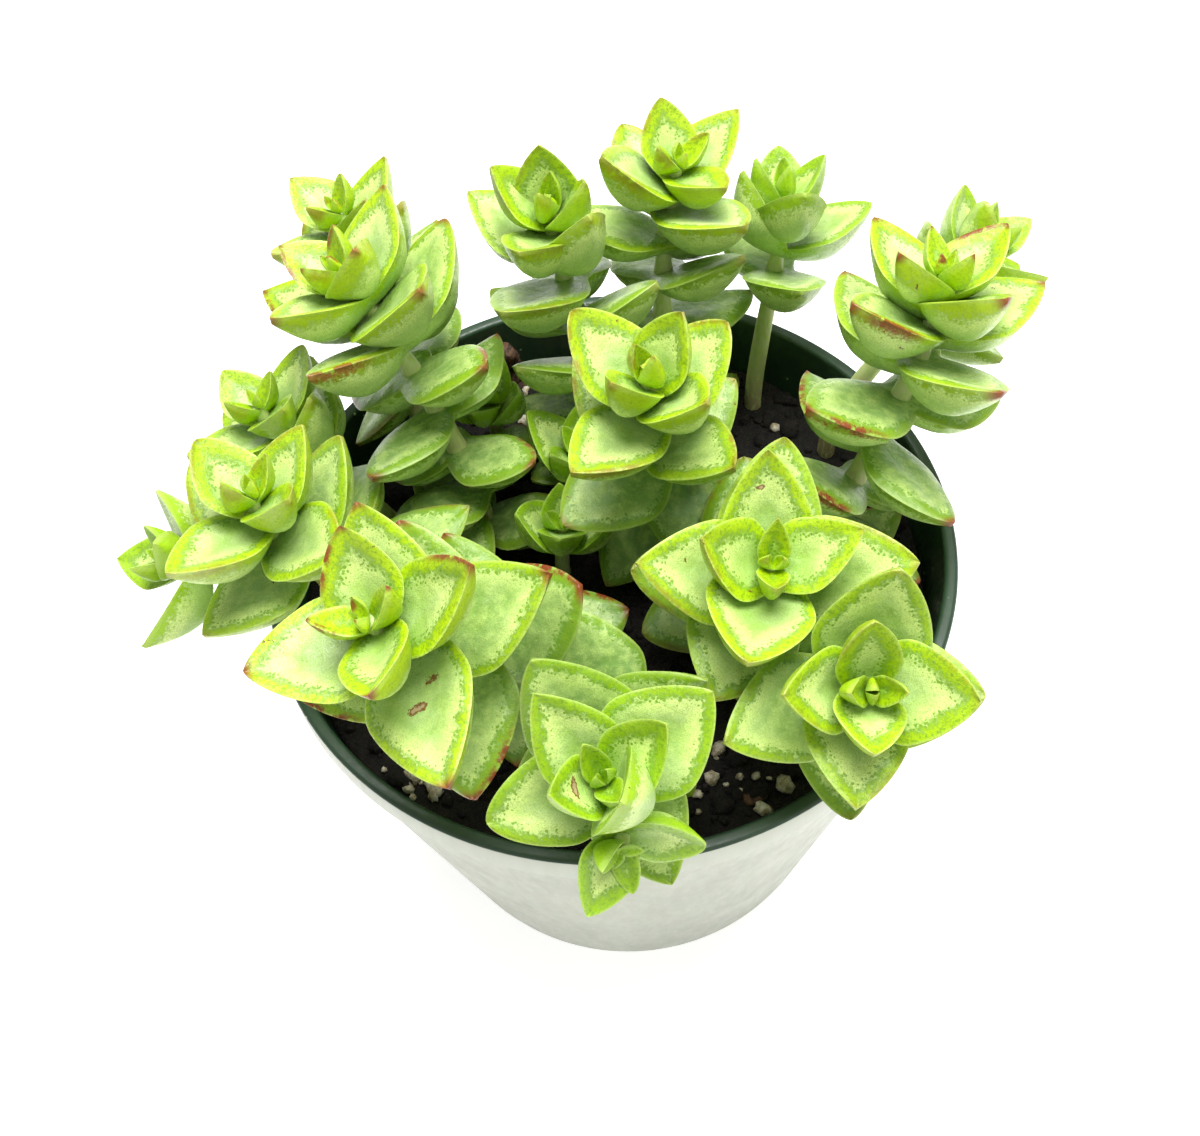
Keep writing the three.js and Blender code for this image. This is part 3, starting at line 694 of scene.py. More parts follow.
# How far below the tip a stem ends, is full thick and is all bark.
END_BELOW, FULL_BELOW, BARK_BELOW = 1.0, 30, 45


def fine_shaft(patchwork, stem, path):
    """The stem itself, a little swollen at each leaf pair."""
    runs = np.linspace(0, path.length - END_BELOW, SHAFT_RINGS)
    rings = []
    for run in runs:
        point, along, side = path.place(path.length - run)
        square = np.cross(along, side)
        below = path.length - run
        joints = PAIR_PLACE[FIRST_JOINT:stem.pairs]
        swell = sum(math.exp(-(((below - at) / JOINT_SPAN) ** 2)) for at in joints)
        radius = SHAFT_TOP + (SHAFT_BASE - SHAFT_TOP) * min(below / FULL_BELOW, 1) + JOINT_SWELL * swell
        turns = np.linspace(0, 2 * math.pi, SHAFT_SIDES, endpoint=False)[:, None]
        rings.append(point + radius * (side * np.cos(turns) + square * np.sin(turns)))
    if stem.root:
        rings.insert(0, rings[0] - np.array([0, 0, STEM_DEPTH]))
        runs = np.concatenate([[-STEM_DEPTH], runs])
    points, faces = closed_tube(rings, [rings[0].mean(0), rings[-1].mean(0)])
    age = np.clip((path.length - runs) / BARK_BELOW, 0, 1)
    ages = np.concatenate([np.repeat(age, SHAFT_SIDES), age[[0, -1]]])
    patchwork.add(points, faces, shade=SHAFT, age=ages)


# -------- shader wiring

# A mix node's colour sockets, by number, because its other kinds share their names.
MIX_FIRST, MIX_SECOND, MIX_RESULT = 6, 7, 2


class Wiring:
    """Adds and links the nodes of one material. Socket names have _ for a space."""

    def __init__(self, name):
        self.material = bpy.data.materials.new(name)
        self.material.use_nodes = True
        self.tree = self.material.node_tree
        self.place = self.resized(self.add("TexCoord").outputs["Object"], (1 / MM,) * 3)

    def feed(self, socket, value):
        if isinstance(value, bpy.types.NodeSocket):
            self.tree.links.new(value, socket)
        elif socket.type == "RGBA":
            socket.default_value = (*value, 1.0)
        else:
            socket.default_value = value

    def fill(self, node, sockets):
        for name, value in sockets.items():
            self.feed(node.inputs[name.replace("_", " ")], value)

    def add(self, kind, **sockets):
        node = self.tree.nodes.new("ShaderNode" + kind)
        self.fill(node, sockets)
        return node

    def resized(self, place, shares):
        node = self.add("VectorMath", Vector=place)
        node.operation = "MULTIPLY"
        node.inputs[1].default_value = shares
        return node.outputs[0]

    def value(self, name):
        """The number that the mesh holds for each point under this name."""
        node = self.add("Attribute")
        node.attribute_name = name
        return node.outputs["Fac"]

    def noise(self, scale, detail=2.0, rough=0.5, stretch=None):
        place = self.resized(self.place, stretch) if stretch else self.place
        node = self.add("TexNoise", Scale=scale, Detail=detail, Roughness=rough, Vector=place)
        return node.outputs["Fac"]

    def dots(self, scale):
        """Distance to the nearest of many scattered points."""
        return self.add("TexVoronoi", Scale=scale, Vector=self.place).outputs["Distance"]

    def upward(self):
        """Height above the foot, in millimetres."""
        return self.add("SeparateXYZ", Vector=self.place).outputs["Z"]

    def math(self, operation, *values):
        node = self.add("Math")
        node.operation = operation
        for socket, value in zip(node.inputs, values):
            self.feed(socket, value)
        return node.outputs[0]

    def times(self, first, *others):
        for other in others:
            first = self.math("MULTIPLY", first, other)
        return first

    def most(self, first, second):
        return self.math("MAXIMUM", first, second)

    def less(self, value, share=1.0):
        """What is left of 1 when this share of the value is taken off."""
        return self.math("MULTIPLY_ADD", value, -share, 1.0)

    def stray(self, value, noise, reach):
        """The value, shifted up or down by the noise."""
        return self.math("MULTIPLY_ADD", self.math("SUBTRACT", noise, 0.5), reach, value)

    def ramp(self, value, low, high, to_low=0.0, to_high=1.0):
        """A smooth step from to_low at low to to_high at high."""
        node = self.add("MapRange", Value=value, From_Min=low, From_Max=high, To_Min=to_low, To_Max=to_high)
        node.interpolation_type = "SMOOTHSTEP"
        return node.outputs[0]

    def mix(self, share, first, second):
        node = self.add("Mix", Factor=share)
        node.data_type = "RGBA"
        self.feed(node.inputs[MIX_FIRST], first)
        self.feed(node.inputs[MIX_SECOND], second)
        return node.outputs[MIX_RESULT]

    def bump(self, height, strength, distance):
        return self.add("Bump", Strength=strength, Distance=distance * MM, Height=height).outputs["Normal"]

    def finish(self, tint, rough, normal, **sockets):
        sockets.update(Base_Color=tint, Roughness=rough, Normal=normal)
        self.fill(self.tree.nodes["Principled BSDF"], sockets)
        return self.material


def srgb(red, green, blue):
    """A colour given as 0 to 255 on screen, as the shader's linear numbers."""
    shares = (red / 255, green / 255, blue / 255)
    return tuple(c / 12.92 if c <= 0.04045 else ((c + 0.055) / 1.055) ** 2.4 for c in shares)


# -------- materials

# How much of the light goes into a leaf or stem, and into the pot's shell.
GLOW_SHARE = 0.15
SHELL_GLOW = 0.1
# How far red, green and blue light spread inside a leaf, as shares of the glow depth.
GLOW_SPREAD = (1.0, 1.0, 0.35)
ALONG_STEM = (1.0, 1.0, 0.3)
UP_WALL = (1.0, 1.0, 0.25)
UP_LINING = (1.0, 1.0, 0.2)
ROUND_WALL = (1.0, 1.0, 2.4)
ALONG_CHIP = (1.0, 0.4, 1.0)


class LeafSkin(Wiring):
    """The skin of the leaves, put on in layers."""

    def __init__(self, sizes):
        super().__init__("leaf_skin")
        self.sizes = sizes
        for key in LEAF_KEYS:
            setattr(self, key, self.value(key))
        self.cloud = self.noise(0.22, 2.0)
        self.patch = self.noise(0.6, 3.0, 0.6)
        self.fine = self.noise(2.2, 3.0, 0.65)
        self.grain = self.noise(6.0, 2.0, 0.6)
        self.sun = self.ramp(self.blush, 0.0, 0.5)

    def powder(self):
        """Powdery skin in the middle of the leaf."""
        sizes = self.sizes
        skin = self.mix(self.ramp(self.cloud, 0.35, 0.65), sizes.skin, sizes.dusty_skin)
        # Lower leaves turn towards the old skin: partly their own older colour, partly painted shade inside
        # the plant.
        skin = self.mix(self.ramp(self.age, 0.45, 1.0, 0.0, 0.85), skin, sizes.old_skin)
        paler = self.times(self.under, self.ramp(self.age, 0.1, 0.5, 0.2, 0.75))
        skin = self.mix(paler, skin, sizes.underside)
        return self.mix(self.ramp(self.age, 0.1, 0.4, 0.85, 0.0), skin, sizes.young)

    def inward(self):
        """Distance from the edge, with a ragged outline, as a share of the band's width."""
        ragged = self.stray(self.stray(self.margin, self.fine, 2.4), self.patch, 2.0)
        reach = self.math("MULTIPLY_ADD", self.ramp(self.along, 0.3, 0.95), 0.7, self.sizes.band_width)
        reach = self.math("MULTIPLY_ADD", self.dice, 0.8, reach)
        narrowed = self.times(self.under, self.ramp(self.age, 0.2, 0.5, 0.1, 0.5))
        reach = self.times(reach, self.ramp(self.age, 0.15, 0.7, 1.2, 0.7),
                           self.ramp(self.sun, 0.0, 1.0, 0.7, 0.9), self.less(narrowed))
        return self.math("DIVIDE", ragged, reach)

    def mottled(self, skin, inward):
        """A creamy zone inside the band, and frosty mottling on older leaves."""
        zone = self.times(self.ramp(inward, 1.4, 3.4, 1.0, 0.0), self.ramp(self.along, 0.2, 0.65),
                          self.ramp(inward, 0.9, 1.5, 0.4, 1.0), self.ramp(self.age, 0.45, 1.0, 0.75, 0.25))
        skin = self.mix(zone, skin, self.sizes.cream)
        frost = self.times(self.ramp(self.patch, 0.36, 0.72, 0.0, 0.42), self.ramp(self.age, 0.3, 0.8))
        skin = self.mix(frost, skin, self.sizes.cream)
        return self.mix(self.ramp(self.grain, 0.44, 0.64, 0.0, 0.45), skin, self.sizes.old_skin)

    def banded(self, skin, inward):
        """The green band, deeper where it meets the middle, breaking up into dots."""
        lit = self.mix(self.sun, self.sizes.shade_band, self.sizes.band)
        # The band of lower leaves turns to the old band: partly its own older colour, partly painted shade
        # inside the plant.
        shade = self.mix(self.ramp(self.age, 0.45, 1.0), lit, self.sizes.old_band)
        speckle = self.ramp(self.fine, 0.46, 0.62, 0.0, 0.65)
        deeper = self.most(self.ramp(inward, 0.4, 1.0, 0.1, 0.95), speckle)
        shade = self.mix(self.times(deeper, self.less(self.under, 0.5)), shade, self.sizes.fleck)
        dot_size = self.ramp(inward, 0.9, 2.2, 0.5, 0.0)
        dotted = self.ramp(self.math("SUBTRACT", self.dots(1.9), dot_size), -0.1, 0.05, 0.8, 0.0)
        dotted = self.times(dotted, self.less(self.under, 0.6))
        band = self.most(self.ramp(inward, 0.6, 1.25, 0.95, 0.0), dotted)
        return self.mix(band, skin, shade)

    def reddened(self, skin):
        """Red at the tip and in a streak along one edge, and the pale line on the very edge, a painted rim
        highlight.
        """
        spot = self.math("MULTIPLY_ADD", self.dice, 0.3, 0.55)
        stretch = self.math("ABSOLUTE", self.math("SUBTRACT", self.along, spot))
        ridge = self.stray(self.margin, self.fine, 1.4)
        streak = self.times(self.ramp(stretch, 0.1, 0.32, 1.0, 0.0), self.ramp(self.across, -0.2, 0.3),
                            self.ramp(self.patch, 0.36, 0.5), self.ramp(self.dice, 0.3, 0.5),
                            self.ramp(ridge, 0.3, 1.0, 1.0, 0.0))
        tip = self.times(self.ramp(self.along, 0.9, 1.0), self.ramp(ridge, 0.7, 1.8, 1.0, 0.0))
        red = self.times(self.most(streak, tip), self.blush)
        skin = self.mix(self.times(red, 0.9), skin, self.sizes.blush)
        # The pale line along the very edge is a painted rim highlight, where light shines through the thin
        # margin; red takes its place.
        line = self.times(self.ramp(self.margin, 0.05, 0.4, 0.22, 0.0), self.less(red))
        return self.mix(line, skin, self.sizes.edge)

    def scarred(self, skin):
        """Corky scars, both the listed ones and small ones by chance."""
        listed = self.stray(self.scar, self.fine, 0.9)
        by_chance = self.ramp(self.noise(0.42, 4.0, 0.7), 0.7, 0.72)
        cork = self.mix(self.ramp(listed, 0.55, 0.75), self.sizes.scar, self.sizes.bark)
        return self.mix(self.most(by_chance, self.ramp(listed, 0.4, 0.5)), skin, cork)

    def relief(self):
        broad = self.math("MULTIPLY_ADD", self.cloud, 4.0, self.patch)
        height = self.math("MULTIPLY_ADD", self.math("ADD", self.fine, self.grain), 0.35, broad)
        return self.bump(height, 0.5, 0.3)


def leaf_material(sizes):
    leaf = LeafSkin(sizes)
    inward = leaf.inward()
    skin = leaf.banded(leaf.mottled(leaf.powder(), inward), inward)
    skin = leaf.scarred(leaf.reddened(skin))
    rough = leaf.ramp(leaf.fine, 0.3, 0.7, sizes.roughness - 0.08, sizes.roughness + 0.1)
    return leaf.finish(skin, rough, leaf.relief(), Subsurface_Weight=GLOW_SHARE,
                       Subsurface_Scale=sizes.glow_depth, Subsurface_Radius=GLOW_SPREAD)


def shaft_material(sizes):
    wiring = Wiring("stem_skin")
    mix, ramp = wiring.mix, wiring.ramp
    streak = wiring.noise(1.2, 3.0, 0.6, ALONG_STEM)
    fresh = mix(ramp(streak, 0.4, 0.7, 0.0, 0.45), sizes.shaft, sizes.young)
    woody = mix(ramp(streak, 0.4, 0.6), sizes.bark, sizes.shaft)
    skin = mix(ramp(wiring.stray(wiring.value("age"), streak, 0.6), 0.55, 1.0), fresh, woody)
    rough = ramp(streak, 0.3, 0.7, 0.45, 0.65)
    return wiring.finish(skin, rough, wiring.bump(streak, 0.5, 0.2), Subsurface_Weight=GLOW_SHARE,
                         Subsurface_Scale=sizes.glow_depth)


def shell_material(sizes):
    wiring = Wiring("pot_shell")
    mix, ramp = wiring.mix, wiring.ramp
    cloud = wiring.noise(0.06, 3.0, 0.6)
    scuff = wiring.noise(0.5, 4.0, 0.7, UP_WALL)
    height = wiring.upward()
    tint = mix(ramp(cloud, 0.3, 0.7), sizes.shell, sizes.shell_shade)
    tint = mix(ramp(scuff, 0.6, 0.75, 0.0, 0.35), tint, sizes.shell_shade)
    tint = mix(ramp(height, BAND_FOOT, BAND_FOOT + LIP_STEP, 0.0, 0.8), tint, sizes.lip)
    from_seam = wiring.math("ABSOLUTE", wiring.math("SUBTRACT", height, BAND_FOOT))
    seam = wiring.times(ramp(from_seam, 0.1, 0.6, 0.6, 0.0), ramp(scuff, 0.4, 0.6))
    tint = mix(seam, tint, sizes.grime)
    smear = ramp(wiring.noise(0.9, 4.0, 0.75, ROUND_WALL), 0.64, 0.72, 0.0, 0.5)
    tint = mix(smear, tint, sizes.grime)
    rough = ramp(scuff, 0.3, 0.7, 0.34, 0.5)
    return wiring.finish(tint, rough, wiring.bump(cloud, 0.25, 0.4), Subsurface_Weight=SHELL_GLOW,
                         Subsurface_Scale=sizes.glow_depth)


def lining_material(sizes):
    wiring = Wiring("pot_lining")
    mix, ramp = wiring.mix, wiring.ramp
    scratch = wiring.noise(1.6, 3.0, 0.7, UP_LINING)
    tint = mix(ramp(wiring.noise(0.12, 3.0, 0.6), 0.3, 0.7), sizes.lining, sizes.lining_shade)
    tint = mix(ramp(wiring.dots(0.28), 0.05, 0.085, 0.8, 0.0), tint, sizes.dust)
    rough = ramp(scratch, 0.35, 0.65, 0.36, 0.5)
    return wiring.finish(tint, rough, wiring.bump(scratch, 0.3, 0.08))


def peat_material(sizes):
    wiring = Wiring("peat")
    mix, ramp = wiring.mix, wiring.ramp
    clod = wiring.noise(0.6, 4.0, 0.7)
    fibre = wiring.noise(2.4, 4.0, 0.7)
    tint = mix(ramp(clod, 0.4, 0.65), sizes.peat, sizes.fibre)
    tint = mix(ramp(fibre, 0.66, 0.75, 0.0, 0.5), tint, sizes.bark_chip)
    rough = ramp(fibre, 0.3, 0.7, 0.6, 0.95)
    return wiring.finish(tint, rough, wiring.bump(wiring.math("ADD", clod, fibre), 0.9, 0.5))


def perlite_material(sizes):
    wiring = Wiring("perlite")
    stain = wiring.noise(0.9, 3.0, 0.6)
    tint = wiring.mix(wiring.ramp(stain, 0.4, 0.66), sizes.perlite, sizes.perlite_stain)
    rough = wiring.ramp(stain, 0.3, 0.7, 0.7, 0.95)
    return wiring.finish(tint, rough, wiring.bump(wiring.dots(2.2), 0.6, 0.25))


def chip_material(sizes):
    wiring = Wiring("bark_chip")
    grain = wiring.noise(1.4, 4.0, 0.65, ALONG_CHIP)
    tint = wiring.mix(wiring.ramp(grain, 0.35, 0.65), sizes.bark_chip, sizes.fibre)
    rough = wiring.ramp(grain, 0.3, 0.7, 0.65, 0.9)
    return wiring.finish(tint, rough, wiring.bump(grain, 0.8, 0.3))


def floor_material(sizes):
    wiring = Wiring("floor_card")
    tooth = wiring.noise(0.8, 2.0)
    tint = wiring.mix(wiring.ramp(tooth, 0.3, 0.7), sizes.floor, sizes.floor_shade)
    return wiring.finish(tint, 0.9, wiring.bump(tooth, 0.05, 0.05), Emission_Color=(1.0, 1.0, 1.0),
                         Emission_Strength=sizes.floor_glow)


# -------- properties

def colour(name, description, screen):
    return FloatVectorProperty(name=name, description=description, default=srgb(*screen),
                               min=0.0, max=1.0, size=3, subtype="COLOR")


class LeafSettings(bpy.types.PropertyGroup):
    """Sizes and colours of the leaves and stems."""

    band_width: FloatProperty(name="Band width", default=1.5, min=0.2, max=5.0,
                              description="Width of the green band along a leaf's edge, in millimetres")
    roughness: FloatProperty(name="Roughness", default=0.34, min=0.1, max=0.9, subtype="FACTOR",
                             description="How dull the leaf skin is")
    glow_depth: FloatProperty(name="Glow depth", default=0.0007, min=0.0, max=0.01, unit="LENGTH",
                              description="How deep light goes into leaves and stems")
    skin: colour("Skin", "Powdery green in the middle of a leaf", (150, 184, 86))
    dusty_skin: colour("Dusty skin", "Greyer powder on the skin", (170, 198, 120))
    cream: colour("Cream", "Creamy zone inside the band", (226, 244, 146))
    # Old skin: the darker green of the lowest leaves, partly their own older colour and partly painted shade
    # inside the plant; it also tints fine specks.
    old_skin: colour("Old skin", "Deeper green of the lowest leaves", (118, 154, 76))
    young: colour("Young skin", "Yellow green of the youngest leaves", (150, 196, 30))
    underside: colour("Underside", "Pale green of the keeled underside", (172, 204, 116))
    band: colour("Band", "Bright band along the edge", (176, 206, 0))
    shade_band: colour("Shade band", "Greener band of stems that grow in shade", (148, 188, 14))
    # Old band: the darker band of the lowest leaves, partly its own older colour and partly painted shade
    # inside the plant.
    old_band: colour("Old band", "Band of the older leaves", (124, 158, 26))
    fleck: colour("Fleck", "Darker dots where the band breaks up", (96, 142, 8))
    # Edge is the colour of a painted rim highlight along the very edge of a leaf.
    edge: colour("Edge", "Pale line on the very edge", (222, 236, 160))
    blush: colour("Blush", "Red of sunned tips", (128, 26, 26))
    scar: colour("Scar", "Corky scars", (112, 76, 30))
    shaft: colour("Stem", "Pale green of young stems", (196, 206, 140))
    bark: colour("Bark", "Tan of old stems", (172, 150, 112))


class PotSettings(bpy.types.PropertyGroup):
    """Sizes and colours of the pot."""

    rounding: FloatProperty(name="Rounding", default=0.0007, min=0.0001, max=0.002, unit="LENGTH",
                            description="Radius of the lip's and the foot's round edges")
    glow_depth: FloatProperty(name="Glow depth", default=0.002, min=0.0, max=0.01, unit="LENGTH",
                              description="How deep light goes into the shell")
    shell: colour("Shell", "Outside of the pot", (172, 176, 160))
    shell_shade: colour("Shell shade", "Slightly darker clouds in the shell", (158, 162, 147))
    lip: colour("Lip", "Paler band under the rim", (182, 187, 172))
    grime: colour("Grime", "Faint marks on the shell", (150, 150, 134))
    lining: colour("Lining", "Lip and inside of the pot", (44, 68, 46))
    lining_shade: colour("Lining shade", "Slightly darker clouds in the lining", (34, 56, 38))
    dust: colour("Dust", "Specks on the lip", (176, 184, 160))


class SoilSettings(bpy.types.PropertyGroup):
    """Grains and colours of the potting mix."""

    crumbs: IntProperty(name="Crumbs", default=900, min=1, max=1400,
                        description="Lumps of peat on the surface")
    grains: IntProperty(name="Perlite", default=150, min=1, max=300,
                        description="White grains of perlite on the surface")
    chips: IntProperty(name="Bark chips", default=60, min=1, max=200,
                       description="Flat chips of bark on the surface")
    peat: colour("Peat", "Dark damp peat", (12, 9, 6))
    fibre: colour("Fibre", "Lighter fibres in the peat", (32, 23, 16))
    bark_chip: colour("Bark chip", "Chips of bark", (104, 72, 46))
    perlite: colour("Perlite", "Grains of perlite", (216, 206, 186))
    perlite_stain: colour("Perlite stain", "Peat stain on the perlite", (160, 142, 112))


class StageSettings(bpy.types.PropertyGroup):
    """Floor and light of the studio."""

    floor: colour("Floor", "Pale floor", (246, 246, 244))
    floor_shade: colour("Floor shade", "Faint tooth of the floor", (242, 242, 240))
    floor_glow: FloatProperty(name="Floor glow", default=0.6, min=0.0, max=2.0,
                              description="Light that comes up through the floor")
    surround: FloatProperty(name="Surround", default=0.42, min=0.0, max=4.0,
                            description="Brightness of the white room")
    key: FloatProperty(name="Key light", default=8.3, min=0.0, max=50.0, unit="POWER",
                       description="Power of the large soft light overhead")
    fill: FloatProperty(name="Fill light", default=0.5, min=0.0, max=50.0, unit="POWER",
                        description="Power of the light from the front")


# -------- pot

POT_SEGMENTS = 180
ROUND_STEPS = 4
HOLE_SEGMENTS = 32
# The order of the pot's materials.
SHELL, LINING = 0, 1
# Rings up the wall, outside and inside, and where the outside ones begin.
WALL_RINGS, LINING_RINGS = 8, 6
WALL_FROM = 3
# The step from the wall to the lip band, as shares of its width: out from the wall, then from the
# lip twice, and up from the foot of the band.
STEP_OUT = ((0.25, 0.1), (-0.15, 0.8), (0, 1.4))
# How far below the foot of the band the lining has narrowed to the wall.
LINING_DROP = 1.5
LINING_DIP = 0.2
# How much of the corner between the lining and the floor is filled.
FLOOR_CORNER = 1


def wall_radius(height):
    slope = (RIM_RADIUS - LIP_STEP - FOOT_RADIUS) / BAND_FOOT
    return FOOT_RADIUS + slope * height


def corner(centre, radius, start, end):
    """Points on a quarter round, from one angle to the other in degrees."""
    angles = np.radians(np.linspace(start, end, ROUND_STEPS + 1))
    return [(centre[0] + radius * math.cos(a), centre[1] + radius * math.sin(a)) for a in angles]


def pot_profile(rounding):
    """The pot's section: the shell from the middle of the foot up, then the lining down again."""
    inner = RIM_RADIUS - LIP_WIDTH
    foot = corner((FOOT_RADIUS - rounding, rounding), rounding, -90, -10)
    wall = [(wall_radius(h), h) for h in np.linspace(WALL_FROM, BAND_FOOT - LIP_STEP, WALL_RINGS)]
    starts = (wall_radius(BAND_FOOT), RIM_RADIUS, RIM_RADIUS)
    step = [(start + LIP_STEP * out, BAND_FOOT + LIP_STEP * up) for start, (out, up) in zip(starts, STEP_OUT)]
    turn = corner((RIM_RADIUS - rounding, POT_HEIGHT - rounding), rounding, 0, 90)
    half = ROUND_STEPS // 2
    shell = [(0, 0)] + foot + wall + step + turn[:half]
    lip = turn[half:] + corner((inner + rounding, POT_HEIGHT - rounding), rounding, 90, 180)
    drop = BAND_FOOT - LINING_DROP
    inside = [(inner - LIP_STEP / 2, BAND_FOOT), (wall_radius(drop) - WALL - LINING_DIP, drop)]
    heights = np.linspace(drop - LINING_DROP, FLOOR + FLOOR_CORNER, LINING_RINGS)
    inside += [(wall_radius(h) - WALL, h) for h in heights]
    inside += [(wall_radius(FLOOR) - WALL - FLOOR_CORNER, FLOOR), (0, FLOOR)]
    return shell, lip + inside


def spin(profile, segments):
    """Points of a turned shape, whose first and last profile points lie on the axis."""
    turns = np.linspace(0, 2 * math.pi, segments, endpoint=False)
    points = [(0.0, 0.0, profile[0][1])]
    for radius, height in profile[1:-1]:
        points += [(radius * math.cos(a), radius * math.sin(a), height) for a in turns]
    points.append((0.0, 0.0, profile[-1][1]))
    rings = len(profile) - 2
    faces = [(0, 1 + (i + 1) % segments, 1 + i) for i in range(segments)]
    faces += tube_faces(rings, segments, 1)
    last = 1 + (rings - 1) * segments
    faces += [(last + i, last + (i + 1) % segments, len(points) - 1) for i in range(segments)]
    return points, faces


def hole_cutter(x, y):
    mesh = bpy.data.meshes.new("drain_cutter")
    tool = bmesh.new()
    bmesh.ops.create_cone(tool, cap_ends=True, segments=HOLE_SEGMENTS, radius1=DRAIN_RADIUS * MM,
                          radius2=DRAIN_RADIUS * MM, depth=4 * FLOOR * MM,
                          matrix=Matrix.Translation((x * MM, y * MM, 0)))
    tool.to_mesh(mesh)
    tool.free()
    cutter = bpy.data.objects.new("drain_cutter", mesh)
    bpy.context.scene.collection.objects.link(cutter)
    return cutter


def cut(piece, cutters):
    for cutter in cutters:
        knife = piece.modifiers.new("drain", "BOOLEAN")
        knife.operation = "DIFFERENCE"
        knife.solver = "EXACT"
        knife.object = cutter
    bpy.context.view_layer.update()
    shaped = piece.evaluated_get(bpy.context.evaluated_depsgraph_get())
    mesh = bpy.data.meshes.new_from_object(shaped)
    if len(mesh.polygons) <= len(piece.data.polygons):
        raise RuntimeError(f"The holes could not be cut in {piece.name}")
    piece.modifiers.clear()
    piece.data = mesh
    for cutter in cutters:
        bpy.data.objects.remove(cutter)


class PLANT_OT_pot(bpy.types.Operator):
    """Turn the pot on its axis and drill its drain holes"""

    bl_idname = "plant.pot"
    bl_label = "Pot"

    def execute(self, context):
        sizes = context.scene.plant_pot
        shell, lining = pot_profile(sizes.rounding / MM)
        points, faces = spin(shell + lining, POT_SEGMENTS)
        outside = POT_SEGMENTS * (len(shell) - 1)
        shades = [SHELL if i < outside else LINING for i in range(len(faces))]
        materials = [shell_material(sizes), lining_material(sizes)]
        piece = add_piece("pot_fine", points, faces, materials, shades=shades)
        angles = [2 * math.pi * i / DRAIN_HOLES for i in range(DRAIN_HOLES)]
        cut(piece, [hole_cutter(DRAIN_RING * math.cos(a), DRAIN_RING * math.sin(a)) for a in angles])
        settle(piece, "pot", "pot")
        return {"FINISHED"}


# -------- soil

SOIL_RINGS = 64
SOIL_SEGMENTS = 168
SOIL_WALL_RINGS = 5
SOIL_EDGE = 0.8
# Fine unevenness of the soil: its grain, its height, and how it breaks up into finer noise.
SOIL_GRAIN = 0.35
SOIL_ROUGH = 0.55
SOIL_NOISE = (0.9, 2.1, 4)
# How often a place is sought for each lump before the soil counts as full.
TRIES = 60
# What lies on the soil: piece, seed, sizes, flatness, how far it stands out of the soil as a share
# of its size, and the share of it that lies in heaps.
CRUMBS = ("soil_crumbs", 11, (0.5, 2.0), (0.6, 1.0), 0.1, 0)
PERLITE = ("soil_perlite", 12, (0.5, 1.6), (0.6, 1.0), 0.35, 0.4)
CHIPS = ("soil_bark", 13, (1.0, 2.6), (0.18, 0.35), 0.2, 0.1)
# Lumps flatter than this lie nearly flat, and the others lie as they fall.
LIES_FLAT = 0.5
STREWN_EDGE = 0.4
# How wide a lump is, as a share of its length, and how far a chip tips, in radians.
STREWN_WIDTH = (0.6, 1.0)
CHIP_TIP = 0.5
# How fine and how deep the lumps are dented.
STREWN_DENTS = (1.7, 0.45)
# A clod of bark against the wall at the back: its middle, its reach each way and its lumps.
CLOD_PLACE = (-16.0, 46.0, 73.5)
CLOD_REACH = (2.4, 1.2, 4.0)
CLOD_SIZES = (0.8, 1.9)
CLOD_LUMPS = 26
CLOD_SEED = 14
CLOD_DENTS = (2.0, 0.6)
# Where perlite lies thickest: x, y and spread.
HEAPS = [(17, -37, 5), (-32, -33, 3), (46, -5, 3)]


def lump(x, y):
    """The soil's broad unevenness, in millimetres, by waves that don't repeat."""
    broad = math.sin(0.21 * x + 1.3) * math.cos(0.17 * y - 0.6)
    fine = math.sin(0.55 * x - 0.47 * y) * math.cos(0.6 * y + 0.4)
    return SOIL_LUMP * (broad + fine) / 2


def soil_height(x, y):
    place = Vector((x * SOIL_GRAIN, y * SOIL_GRAIN, 3.0))
    return SOIL_TOP + lump(x, y) + SOIL_ROUGH * noise.fractal(place, *SOIL_NOISE)


def soil_radius(height):
    return wall_radius(height) - WALL - CLEAR


def soil_body():
    edge = soil_radius(SOIL_TOP)
    bottom = FLOOR + CLEAR
    profile = [(0, bottom), (soil_radius(bottom), bottom)]
    profile += [(soil_radius(h), h) for h in np.linspace(bottom, SOIL_TOP - SOIL_EDGE, SOIL_WALL_RINGS)[1:]]
    profile += [(radius, SOIL_TOP) for radius in np.linspace(edge - SOIL_EDGE, 0, SOIL_RINGS)]
    points, faces = spin(profile, SOIL_SEGMENTS)
    points = [(x, y, z if z < SOIL_TOP else soil_height(x, y)) for x, y, z in points]
    return points, faces


def ball():
    """Points and faces of a ball of radius 1."""
    tool = bmesh.new()
    bmesh.ops.create_icosphere(tool, subdivisions=2, radius=1.0)
    points = np.array([vertex.co[:] for vertex in tool.verts])
    faces = [[vertex.index for vertex in face.verts] for face in tool.faces]
    tool.free()
    return points, faces


def tumbled(chance):
    """A random turn, as a matrix."""
    matrix, _ = np.linalg.qr(chance.normal(size=(3, 3)))
    return matrix * np.sign(np.linalg.det(matrix))


def nearly_flat(chance):
    """A free turn about the vertical and a slight tip, as a matrix."""
    turn = Matrix.Rotation(chance.uniform(0, 2 * math.pi), 3, "Z")
    tip = Matrix.Rotation(chance.uniform(-CHIP_TIP, CHIP_TIP), 3, "X")
    return np.array(turn @ tip)


